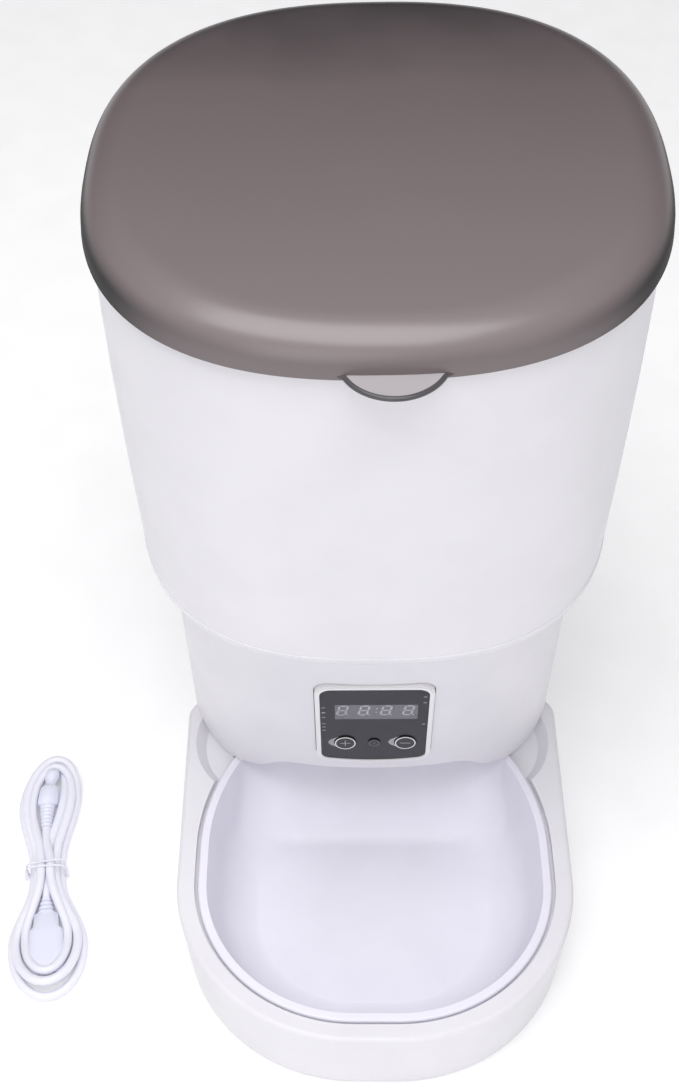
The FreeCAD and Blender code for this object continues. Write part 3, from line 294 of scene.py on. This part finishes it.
def skin(rings, closed=True, first=0):
    """Faces between equal rings of points: closed round into a loop, or capped at both ends."""
    count, turns = len(rings[0]), len(rings)
    faces = []
    for k in range(turns if closed else turns - 1):
        low, high = first + k * count, first + (k + 1) % turns * count
        for j in range(count):
            after = (j + 1) % count
            faces.append((low + j, low + after, high + after, high + j))
    if not closed:
        faces.append(tuple(range(first + count - 1, first - 1, -1)))
        faces.append(tuple(range(first + (turns - 1) * count, first + turns * count)))
    return faces


def skinned(name, rings, body, slot, closed=False, **look):
    """Piece made of one skin over rings of points."""
    points = [p for ring in rings for p in ring]
    return add_piece(name, points, skin(rings, closed), body, slot, **look)


def rounded(half_a, half_b, power, count):
    """Points of a superellipse in the plane."""
    points = []
    for k in range(count):
        c, s = math.cos(2 * math.pi * k / count), math.sin(2 * math.pi * k / count)
        r = (abs(c / half_a) ** power + abs(s / half_b) ** power) ** (-1 / power)
        points.append((r * c, r * s))
    return points


def sweep(path, radius, count=SWEEP_SIDES):
    """Rings of a round bar along an open path."""
    rings = []
    for k, place in enumerate(path):
        way = (path[min(k + 1, len(path) - 1)] - path[max(k - 1, 0)]).normalized()
        side = way.cross(SWEEP_UP).normalized()
        other = way.cross(side)
        turn = [2 * math.pi * j / count for j in range(count)]
        rings.append([place + (side * math.cos(a) + other * math.sin(a)) * radius for a in turn])
    return rings


# ---- lid ----------------------------------------------------------------------------------
# millimetres, as in the next two sections unless a comment says metres
AXIS_Y = 47.55
LID_HALF = (113.0, 118.3)
LID_POWER, LID_POINTS = 2.44, 180
LID_LOW, LID_SKIRT, LID_WALL = 346.1, 2.4, 2.2
# the round shoulder: how far in it starts, its radius and how much wider it is than high, its turn
SHOULDER_IN, SHOULDER_R, SHOULDER_WIDE = 0.25, 14.2, 1.25
SHOULDER_TURN, SHOULDER_STEPS = math.radians(82), 14
CROWN, CROWN_SCALES = 0.05, (0.98, 0.8, 0.5, 0.2, 0.001)
# rib: half widths of its two walls, its foot, and its top, which runs into the lid
RIB_OUT, RIB_IN = (105.0, 110.3), (103.0, 108.3)
RIB_LOW, RIB_TOP_OUT, RIB_TOP_IN = 344.1, 360.0, 360.2
# tab: its middle, half width, reach and the bead's thickness
TAB_X, TAB_HALF, TAB_REACH, TAB_BEAD = 5.0, 17.0, 12.2, 2.0
# the bead runs on this far along the rim at each end, sunk in it, before it turns out
TAB_FLANK_STEPS, TAB_FLANK_STEP, TAB_FLANK_SINK = 16, 0.5, -1.2
# points on each half of its edge, how early the corners fall away, and rounds of easing
TAB_ARC_STEPS, TAB_POWER, TAB_EASING = 30, 1.4, 16
TAB_BEAD_Z, TAB_WEB_LOW, TAB_WEB_TOP, TAB_ROOT_TOP, TAB_ROOT_IN = 347.3, 346.6, 347.9, 348.2, 1.0


def lid_ring(half_w, half_d, z):
    """One outline of the lid's rounded square."""
    outline = rounded(half_w, half_d, LID_POWER, LID_POINTS)
    return [Vector((x, y + AXIS_Y, z)) * MM for x, y in outline]


def lid_rings(wall):
    """Rings up the lid's skirt and round shoulder, then in to the middle."""
    base, start = LID_LOW + LID_SKIRT - wall, wall + SHOULDER_IN
    rows = [(wall, LID_LOW), (start, base)]
    for k in range(1, SHOULDER_STEPS + 1):
        turn = SHOULDER_TURN * k / SHOULDER_STEPS
        rows.append((start + SHOULDER_WIDE * SHOULDER_R * (1 - math.cos(turn)),
                     base + SHOULDER_R * math.sin(turn)))
    rings = [lid_ring(LID_HALF[0] - inset, LID_HALF[1] - inset, z) for inset, z in rows]
    edge, top = rows[-1]
    for scale in CROWN_SCALES:
        half_w, half_d = [(half - edge) * scale for half in LID_HALF]
        rings.append(lid_ring(half_w, half_d, top + CROWN * (1 - scale)))
    return rings


def lid_front(x):
    """The lid's front edge, in y, at this x."""
    return AXIS_Y - LID_HALF[1] * (1 - abs(x / LID_HALF[0]) ** LID_POWER) ** (1 / LID_POWER)


def tab_outline():
    """Places along the tab's edge, in x and out from the lid's edge, eased where the two meet."""
    flank = [(TAB_HALF + (TAB_FLANK_STEPS - k) * TAB_FLANK_STEP, TAB_FLANK_SINK)
             for k in range(TAB_FLANK_STEPS)]
    angles = [math.radians(90) * k / TAB_ARC_STEPS for k in range(TAB_ARC_STEPS + 1)]
    reach = TAB_REACH - TAB_BEAD / 2
    right = flank + [(TAB_HALF * math.cos(a), reach * math.sin(a) ** TAB_POWER) for a in angles]
    points = [Vector((TAB_X - x, out)) for x, out in right]
    points += [Vector((TAB_X + x, out)) for x, out in right[-2::-1]]
    for _ in range(TAB_EASING):
        inner = [(a + b + c) / 3 for a, b, c in zip(points, points[1:], points[2:])]
        points = [points[0]] + inner + [points[-1]]
    return points


def make_tab():
    """Finger tab: a thin web with a thick bead along its edge."""
    web, path = [], []
    for x, out in tab_outline():
        root, tip = lid_front(x) + TAB_ROOT_IN, lid_front(x) - out
        path.append(Vector((x, tip, TAB_BEAD_Z)) * MM)
        corners = ((root, TAB_WEB_LOW), (tip, TAB_WEB_LOW), (tip, TAB_WEB_TOP), (root, TAB_ROOT_TOP))
        web.append([Vector((x, y, z)) * MM for y, z in corners])
    skinned("tab_web", web, "lid", "smoke_plastic", finish="tab_web")
    skinned("tab_bead", sweep(path, TAB_BEAD / 2 * MM), "lid", "smoke_plastic", finish="tab_bead")


def make_lid():
    """Hollow lid, the rib that seats in the hopper, and the tab."""
    rings = lid_rings(0.0) + lid_rings(LID_WALL)[::-1]
    lid = skinned("lid_dome", rings, "lid", "smoke_plastic", closed=True)
    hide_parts("lid")
    rib = ((RIB_OUT, RIB_LOW), (RIB_OUT, RIB_TOP_OUT), (RIB_IN, RIB_TOP_IN), (RIB_IN, RIB_LOW))
    rib = [lid_ring(*half, z) for half, z in rib]
    skinned("lid_rib", rib, "lid", "smoke_plastic", closed=True)
    make_tab()


# ---- control panel ------------------------------------------------------------------------
# places on the panel are (x, v): across, and up its leaning face; w is the height over that face
PANEL_AT = Vector((0.0, -40.40, 114.0)) * MM
PANEL_TURN = math.radians(99.9)
# heights of the lens and the button caps, and of what is printed on them
LENS_FACE, CAP_FACE = 0.5, 1.2
PRINT, DIGIT_PRINT = 0.06, 0.03
OVAL_POINTS = 40
# display: its window (left, right, foot, top), the digits' places in it and their bars
WINDOW = (-17.9, 19.8, 6.8, 20.5)
DIGIT_LEFTS = (0.4, 10.2, 20.3, 30.4)
DIGIT_W, DIGIT_H, DIGIT_TOP, DIGIT_BAR, DIGIT_SLANT = 4.5, 9.4, 19.9, 0.95, 0.17
DIGIT_BAR_V, DIGIT_BAR_X, DIGIT_GAP = 0.5, 0.35, 0.7
# the upright bars' feet above the digit's foot and middle, and how much shorter than half they are
DIGIT_FEET, DIGIT_SHORTER = (0.7, 0.2), 0.9
POINT_R, COLON_R = 0.42, 0.45
COLON_IN, COLON_PLACES = 1.3, ((0.3, 3.0), (0.0, 6.4))
# buttons: painted highlight ring (its foot and height), sign and painted highlight crescent of the outer two,
# small sign of the middle one
BUTTON_V = -16.4
RINGS = {"plus": -13.3, "minus": 14.9}
HIGHLIGHT_RING_HALF, HIGHLIGHT_RING_WIDTH, HIGHLIGHT_RING_LOW, HIGHLIGHT_RING_HIGH = (4.85, 5.95), 0.5, 1.1, 0.2
MARK_ACROSS, MARK_UP, MARK_WIDTH = 2.5, 2.7, 0.42
LEAF_HALF, LEAF_REACH, LEAF_ROOT, LEAF_POWER = (5.35, 6.45), 2.6, 0.02, 1.3
LEAF_START, LEAF_SPAN, LEAF_STEPS = 122, 116, 20
POWER_X, POWER_HALF, POWER_WIDTH, POWER_BAR = 0.3, (2.6, 3.1), 0.35, (-17.4, -15.4)
# scale marks at the panel's two sides: from and to, and the foot of each mark
LEFT_MARKS = (-23.9, -22.3, (17.6, 13.2, 12.6, 8.4, 2.2, -1.2, -4.4))
RIGHT_MARKS = (22.1, 23.6, (27.4, 22.0, 1.2))
SCALE_MARK = 0.55


def panel_point(x, v, w):
    """Place on the panel, in the feeder's frame."""
    c, s = math.cos(PANEL_TURN), math.sin(PANEL_TURN)
    return PANEL_AT + Vector((x, v * c - w * s, v * s + w * c)) * MM


def printed(name, outlines, body, slot, finish, low=LENS_FACE, height=PRINT):
    """Thin flat shapes on the panel, each a polygon or a pair of matching outlines."""
    points, faces = [], []
    for outline in outlines:
        first = len(points)
        if isinstance(outline, tuple):
            outer, inner = outline
            levels = [(outer, low), (outer, low + height), (inner, low + height), (inner, low)]
        else:
            levels = [(outline, low), (outline, low + height)]
        rings = [[panel_point(x, v, w) for x, v in shape] for shape, w in levels]
        points += [p for ring in rings for p in ring]
        faces += skin(rings, len(levels) == 4, first)
    return add_piece(name, points, faces, body, slot, finish=finish)


def bar(x0, v0, x1, v1, width=DIGIT_BAR):
    """Six-sided bar from one point to another."""
    way = Vector((x1 - x0, v1 - v0)).normalized() * width / 2
    side = Vector((-way.y, way.x))
    start, end = Vector((x0, v0)), Vector((x1, v1))
    corners = [start, start + way + side, end - way + side, end, end - way - side, start + way - side]
    return [tuple(p) for p in corners[::-1]]


def digit(left):
    """Seven slanted bars of one digit, and its point."""
    def at(x, v):
        """Place on the panel, from the digit's own left foot."""
        return (WINDOW[0] + left + x + v * DIGIT_SLANT, DIGIT_TOP - DIGIT_H + v)

    half = DIGIT_H / 2
    shapes = []
    for v in (DIGIT_BAR_V, half, DIGIT_H - DIGIT_BAR_V):
        shapes.append(bar(*at(DIGIT_GAP, v), *at(DIGIT_W - DIGIT_GAP, v)))
    for x in (DIGIT_BAR_X, DIGIT_W - DIGIT_BAR_X):
        for low in (DIGIT_FEET[0], half + DIGIT_FEET[1]):
            shapes.append(bar(*at(x, low), *at(x, low + half - DIGIT_SHORTER)))
    shapes.append(oval(*at(DIGIT_W + DIGIT_GAP, DIGIT_BAR_V), POINT_R, POINT_R))
    return shapes


def oval(x, v, half_w, half_h):
    """Outline of an ellipse on the panel."""
    return [(x + a, v + b) for a, b in rounded(half_w, half_h, 2.0, OVAL_POINTS)]


def oval_ring(x, v, half, width):
    """Outer and inner outline of a ring."""
    return (oval(x, v, *half), oval(x, v, half[0] - width, half[1] - width))


def highlight_crescent(x, v):
    """Painted highlight: a light crescent to the left of a button's ring, where the raised button would catch
    the light.
    """
    inner, outer = [], []
    for k in range(LEAF_STEPS + 1):
        part = k / LEAF_STEPS
        angle = math.radians(LEAF_START + LEAF_SPAN * part)
        px, pv = x + LEAF_HALF[0] * math.cos(angle), v + LEAF_HALF[1] * math.sin(angle)
        inner.append((px, pv))
        outer.append((px - LEAF_REACH * math.sin(math.pi * part) ** LEAF_POWER - LEAF_ROOT, pv))
    return outer + inner[::-1]


def box_outline(x0, x1, v0, v1):
    """Outline of an upright rectangle on the panel."""
    return [(x0, v0), (x1, v0), (x1, v1), (x0, v1)]


def make_display():
    """Window of the display, its four unlit digits with their points, and the colon."""
    printed("display_window", [box_outline(*WINDOW)], "base", "panel_dark", "display_grey")
    digits = [shape for left in DIGIT_LEFTS for shape in digit(left)]
    middle = (DIGIT_LEFTS[1] + DIGIT_LEFTS[2] + DIGIT_W) / 2 + WINDOW[0] + COLON_IN
    for x, drop in COLON_PLACES:
        digits.append(oval(middle + x, DIGIT_TOP - drop, COLON_R, COLON_R))
    printed("display_digits", digits, "base", "panel_dark", "segment_grey", LENS_FACE + PRINT, DIGIT_PRINT)


def make_button_prints_and_highlights():
    """Painted highlight rings and printed signs that ride on the buttons, and the painted highlight crescents
    beside them.
    """
    highlight_crescents = [highlight_crescent(x, BUTTON_V) for x in RINGS.values()]
    # painted highlight: light grey crescents beside the outer buttons
    printed("button_highlight_crescents", highlight_crescents, "base", "gloss_white", "print_and_highlight_grey")
    for name, x in RINGS.items():
        body = name + "_button"
        # painted highlight: a gloss white ring round the button's edge, in place of the glint on its bevel
        ring = [oval_ring(x, BUTTON_V, HIGHLIGHT_RING_HALF, HIGHLIGHT_RING_WIDTH)]
        printed(name + "_ring", ring, body, "gloss_white", "gloss_white", HIGHLIGHT_RING_LOW, HIGHLIGHT_RING_HIGH)
        mark = [bar(x - MARK_ACROSS, BUTTON_V, x + MARK_ACROSS, BUTTON_V, MARK_WIDTH)]
        if name == "plus":
            mark.append(bar(x, BUTTON_V - MARK_UP, x, BUTTON_V + MARK_UP, MARK_WIDTH))
        printed(name + "_mark", mark, body, "gloss_white", "print_and_highlight_grey", CAP_FACE)
    sign = [oval_ring(POWER_X, BUTTON_V, POWER_HALF, POWER_WIDTH),
            bar(POWER_X, POWER_BAR[0], POWER_X, POWER_BAR[1], POWER_WIDTH)]
    printed("power_mark", sign, "power_button", "gloss_white", "print_dim", CAP_FACE)


def make_panel_prints():
    """Everything printed on the panel, and the painted highlights on and beside its buttons."""
    make_display()
    make_button_prints_and_highlights()
    marks = [box_outline(x0, x1, v, v + SCALE_MARK)
             for x0, x1, feet in (LEFT_MARKS, RIGHT_MARKS) for v in feet]
    printed("panel_marks", marks, "base", "gloss_white", "print_and_highlight_grey")


# ---- cable --------------------------------------------------------------------------------
# metres: the cable's thickness and length, and the middle of the waist
CABLE_D, CABLE_LENGTH = 0.0045, 1.22
CABLE_ROUNDING, CABLE_STEPS, CABLE_ORDER = 5, 8, 3
HANK_AT = Vector((-0.167, -0.05095, 0.0))
HANK_TURN = math.radians(6.7)
# half the length of the tied waist, and how the upper lobe bends to the side from a place on
WAIST = 4.0
HANK_BEND, HANK_BEND_FROM = 0.0022, 20.0
# places of the strands in the waist, across and up
DOWN_SLOTS = ((2.25, 10.1), (4.5, 6.2), (6.75, 2.3), (2.25, 2.3), (0.0, 6.2))
UP_SLOTS = ((-2.25, 10.1), (-4.5, 6.2), (-6.75, 2.3), (-2.25, 2.3))
# each loop's widest place, half width before and after its end, end, and heights at the three
LOWER_LOOPS = (
    (-40.0, 10.9, -10.9, -60.6, (6.5, 11.0, 6.5)),
    (-42.0, 15.9, -15.9, -66.3, (6.1, 10.6, 6.1)),
    (-43.0, 18.2, -18.3, -70.6, (2.3, 2.3, 2.3)),
    (-42.0, 13.4, -13.4, -61.0, (2.3, 2.3, 2.3)),
)
UPPER_LOOPS = (
    (44.0, -8.4, 12.2, 65.5, (6.9, 6.9, 6.7)),
    (46.0, -12.2, 14.4, 70.5, (6.2, 6.6, 3.0)),
    (46.0, -14.3, 9.9, 72.5, (2.3, 2.3, 2.3)),
    (44.0, -9.8, 8.0, 67.8, (2.3, 2.3, 6.4)),
)
SIDE_STEPS, TURN_IN, TURN_OUT = (0.0, 0.25, 0.5, 0.75, 1.0), (30, 60, 90), (60, 30)
# the cable's run out of the round plug, and its run into the flat one
FIRST_RUN = ((0.0, 24.5, 7.5), (0.0, 18.0, 7.9), (1.2, 11.0, 9.2), (2.25, WAIST, 10.1))
LAST_RUN = ((0.0, -WAIST, 6.3), (0.0, -11.0, 6.5), (0.0, -18.0, 6.5))
# plugs: height of the middle, then place, half width, half height and corner power of each row
ROUND_PLUG_Z, FLAT_PLUG_Z, PLUG_POINTS = 7.5, 6.5, 48
ROUND_PLUG = (
    (62.0, 1.2, 1.2, 2.0), (61.6, 2.6, 2.6, 2.0), (60.6, 3.5, 3.5, 2.0), (59.2, 3.8, 3.8, 2.0),
    (57.4, 3.8, 3.8, 2.0), (55.8, 3.3, 3.3, 2.0), (54.4, 2.8, 2.8, 2.0), (51.2, 2.7, 2.7, 2.0),
    (50.6, 3.0, 3.0, 2.0), (50.4, 4.4, 4.4, 2.0), (49.6, 4.9, 4.9, 2.0), (48.4, 5.2, 5.2, 2.0),
    (41.0, 5.5, 5.5, 2.0), (40.0, 5.0, 5.0, 2.0),
)
FLAT_PLUG = (
    (-26.6, 5.2, 3.6, 3.0), (-27.4, 6.2, 3.9, 4.0), (-34.6, 6.6, 4.0, 5.0), (-36.2, 8.2, 4.2, 5.0),
    (-37.2, 8.7, 4.2, 5.0), (-53.6, 8.7, 4.2, 5.0), (-56.4, 7.6, 4.1, 5.0), (-57.4, 6.6, 3.8, 5.0),
    (-57.8, 5.8, 3.2, 4.0),
)
# strain reliefs: from and to, radius at each, number of rings and their depth
ROUND_RELIEF = (39.4, 24.5, (4.3, 2.8), 7, 0.55)
FLAT_RELIEF = (-18.0, -26.0, (2.9, 4.6), 3, 0.7)
# tie: its wire, the outline of a turn round the waist, and the place and slant of each turn
TIE_R, TIE_SIDES = 0.5, 8
TIE_HALF, TIE_POWER, TIE_POINTS, TIE_Z = (9.75, 6.2), 5.0, 64, 6.75
TIE_TURNS, TIE_SLANT_OVER = ((1.5, 0.5), (-1.2, -0.4)), 9.0
# its twisted ends: points, turn from one to the next, radius, start, step and curl
TWIST_POINTS, TWIST_TURN, TWIST_R = 25, 1.1, 0.35
TWIST_START, TWIST_STEP, TWIST_CURL = (9.9, 1.6, 8.0), (0.12, -0.18, -0.2), 0.004


def hank_place(u, v, z):
    """Point u across and v along the hank at height z, in millimetres, in the feeder's frame."""
    c, s = math.cos(HANK_TURN), math.sin(HANK_TURN)
    u += HANK_BEND * max(0.0, v - HANK_BEND_FROM) ** 2
    return HANK_AT + Vector((u * c - v * s, u * s + v * c, z)) * MM


def hank_loop(start, end, loop):
    """Points of one loop, from one place in the waist round the lobe and back to another."""
    wide_v, before, after, end_v, (z_before, z_end, z_after) = loop
    waist_v = math.copysign(WAIST, wide_v)
    points = []

    def side(slot, half, z_wide, steps):
        """One flank, from the waist (step 0) to the widest place (step 1)."""
        for step in steps:
            part = (1 - math.cos(math.pi * step)) / 2
            u = slot[0] + (half - slot[0]) * part
            z = slot[1] + (z_wide - slot[1]) * part
            points.append((u, waist_v + (wide_v - waist_v) * step, z))

    def turn(half, z_wide, angles):
        """Half of the round end; 90 degrees is the end itself."""
        for angle in angles:
            s, c = math.sin(math.radians(angle)), math.cos(math.radians(angle))
            points.append((half * c, wide_v + (end_v - wide_v) * s, z_wide + (z_end - z_wide) * s))

    side(start, before, z_before, SIDE_STEPS)
    turn(before, z_before, TURN_IN)
    turn(after, z_after, TURN_OUT)
    side(end, after, z_after, SIDE_STEPS[::-1])
    return points


def cable_route():
    """The whole cable: out of the round plug, four turns of the hank, and into the flat plug."""
    points = list(FIRST_RUN)
    for turn, up_slot in enumerate(UP_SLOTS):
        points += hank_loop(DOWN_SLOTS[turn], up_slot, LOWER_LOOPS[turn])
        points += hank_loop(up_slot, DOWN_SLOTS[turn + 1], UPPER_LOOPS[turn])
    points += LAST_RUN
    return [hank_place(*p) for p in points]


def plug(name, node, rows, z):
    """Plug along the hank, from its rows and the height of its middle."""
    rings = []
    for v, half_u, half_z, power in rows:
        outline = rounded(half_u, half_z, power, PLUG_POINTS)
        rings.append([hank_place(a, v, z + b) for a, b in outline])
    made = skinned(name, rings, "base", "plug_white", smooth_below=50)
    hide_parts(node)
    return made


def ribs(v0, v1, radii, count, depth):
    """Rows of a strain relief with rings round it; its radius runs from one to the other."""
    rows = []
    for k in range(count * 4 + 1):
        t = k / (count * 4)
        r = radii[0] + (radii[1] - radii[0]) * t - (depth if k % 4 in (1, 2) else 0.0)
        rows.append((v0 + (v1 - v0) * t, r, r, 2.0))
    return rows


def make_round_plug():
    """Barrel plug under its white bulb cap, grip and ringed relief."""
    return plug("round_plug", "dc_plug", [*ROUND_PLUG, *ribs(*ROUND_RELIEF)], ROUND_PLUG_Z)


def make_flat_plug():
    """Flat plug: ringed relief, narrow collar and wide grip with eased corners."""
    return plug("flat_plug", "usb_plug", [*ribs(*FLAT_RELIEF), *FLAT_PLUG], FLAT_PLUG_Z)


def tie_wires():
    """Paths of the tie's wire: two turns round the waist, and a twisted end at each side."""
    wires = []
    for centre_v, lean in TIE_TURNS:
        loop = rounded(*TIE_HALF, TIE_POWER, TIE_POINTS)
        loop.append(loop[0])
        wires.append([(a, centre_v + lean * a / TIE_SLANT_OVER, TIE_Z + b) for a, b in loop])
    for side in (-1, 1):
        twist = []
        for k in range(TWIST_POINTS):
            angle = k * TWIST_TURN
            u, v, z = [start + step * k for start, step in zip(TWIST_START, TWIST_STEP)]
            twist.append((side * (u - TWIST_CURL * k * k),
                          v + TWIST_R * math.cos(angle), z + TWIST_R * math.sin(angle)))
        wires.append(twist)
    return wires


def make_tie():
    """Wire tie round the waist of the hank."""
    points, faces = [], []
    for wire in tie_wires():
        rings = sweep([hank_place(*p) for p in wire], TIE_R * MM, TIE_SIDES)
        faces += skin(rings, False, len(points))
        points += [p for ring in rings for p in ring]
    tie = add_piece("wire_tie", points, faces, "base", "cable_white", smooth_below=60)
    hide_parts("cable_tie")
    return tie


def make_cable():
    """The cable as a round curve, with its plugs and tie."""
    route = cable_route()
    curve = bpy.data.curves.new("power_cable", "CURVE")
    curve.dimensions = "3D"
    curve.bevel_depth = CABLE_D / 2
    curve.bevel_resolution = CABLE_ROUNDING
    curve.resolution_u = CABLE_STEPS
    curve.use_fill_caps = True
    spline = curve.splines.new("NURBS")
    spline.points.add(len(route) - 1)
    for point, place in zip(spline.points, route):
        point.co = (*place, 1.0)
    spline.order_u = CABLE_ORDER
    spline.use_endpoint_u = True
    curve.materials.append(finishes["cable_white"])
    cable = bpy.data.objects.new("power_cable", curve)
    bpy.context.scene.collection.objects.link(cable)
    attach(cable, "base")
    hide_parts("cable_hank")
    make_round_plug()
    make_flat_plug()
    make_tie()


# ---- studio -------------------------------------------------------------------------------
# the light from all round is this level, more where a direction agrees with the lean
WORLD_LEAN, WORLD_LEVEL = (-0.02, -0.26, 0.35), 0.27
WORLD_COLOUR = (0.985, 0.975, 1.0, 1.0)
FLOOR_REACH, FLOOR_Z = 40.0, -0.0003
FLOOR_COLOUR, FLOOR_ROUGH, FLOOR_GLOW = (0.94, 0.94, 0.94), (0.6, 0.7), 0.16
LIGHT_AIM = Vector((0.0, 0.0, 0.2))
# place, size and power in watts of each soft box
SOFT_BOXES = {
    "overhead": ((-0.15, -0.25, 1.5), (1.3, 0.9), 12.8),
    "key": ((-0.4, -1.5, 0.9), (1.0, 1.0), 3.8),
    "fill": ((1.0, -1.2, 0.7), (1.0, 1.0), 0.7),
}


def make_soft_box(name, place, size, power):
    """Rectangular light that faces the feeder."""
    data = bpy.data.lights.new(name, "AREA")
    data.shape = "RECTANGLE"
    data.size, data.size_y = size
    data.energy = power
    light = bpy.data.objects.new(name, data)
    bpy.context.scene.collection.objects.link(light)
    way = (LIGHT_AIM - Vector(place)).to_track_quat("-Z", "Y")
    light.matrix_world = Matrix.Translation(place) @ way.to_matrix().to_4x4()


def make_world():
    """Soft light from all round, brighter in front and overhead than behind."""
    world = bpy.data.worlds.new("studio")
    world.use_nodes = True
    tree = world.node_tree
    background = tree.nodes["Background"]
    way = tree.nodes.new("ShaderNodeTexCoord").outputs["Generated"]
    lean = tree.nodes.new("ShaderNodeVectorMath")
    lean.operation = "DOT_PRODUCT"
    lean.inputs[1].default_value = WORLD_LEAN
    tree.links.new(way, lean.inputs[0])
    level = tree.nodes.new("ShaderNodeMath")
    level.operation = "ADD"
    level.use_clamp = True
    level.inputs[1].default_value = WORLD_LEVEL
    tree.links.new(lean.outputs["Value"], level.inputs[0])
    tree.links.new(level.outputs["Value"], background.inputs["Strength"])
    background.inputs["Color"].default_value = WORLD_COLOUR
    bpy.context.scene.world = world


def make_floor():
    """Wide pale sheet just under the feeder, glowing a little so that it stays white."""
    mesh = bpy.data.meshes.new("floor")
    corners = [(x * FLOOR_REACH, y * FLOOR_REACH, 0) for x, y in ((-1, -1), (1, -1), (1, 1), (-1, 1))]
    mesh.from_pydata(corners, [], [(0, 1, 2, 3)])
    floor = bpy.data.objects.new("floor", mesh)
    bpy.context.scene.collection.objects.link(floor)
    floor.location.z = FLOOR_Z
    sheet = moulded("floor", FLOOR_COLOUR, FLOOR_ROUGH, Emission_Strength=FLOOR_GLOW,
                    Emission_Color=(1.0, 1.0, 1.0, 1.0))
    mesh.materials.append(sheet)


def make_studio():
    """Pale floor, light from all round, and soft boxes overhead and at both sides in front."""
    make_world()
    make_floor()
    bpy.context.scene.view_settings.view_transform = "Standard"
    for name, (place, size, power) in SOFT_BOXES.items():
        make_soft_box(name, place, size, power)


make_camera()
finish_nodes()
make_lid()
make_panel_prints()
make_cable()
make_studio()
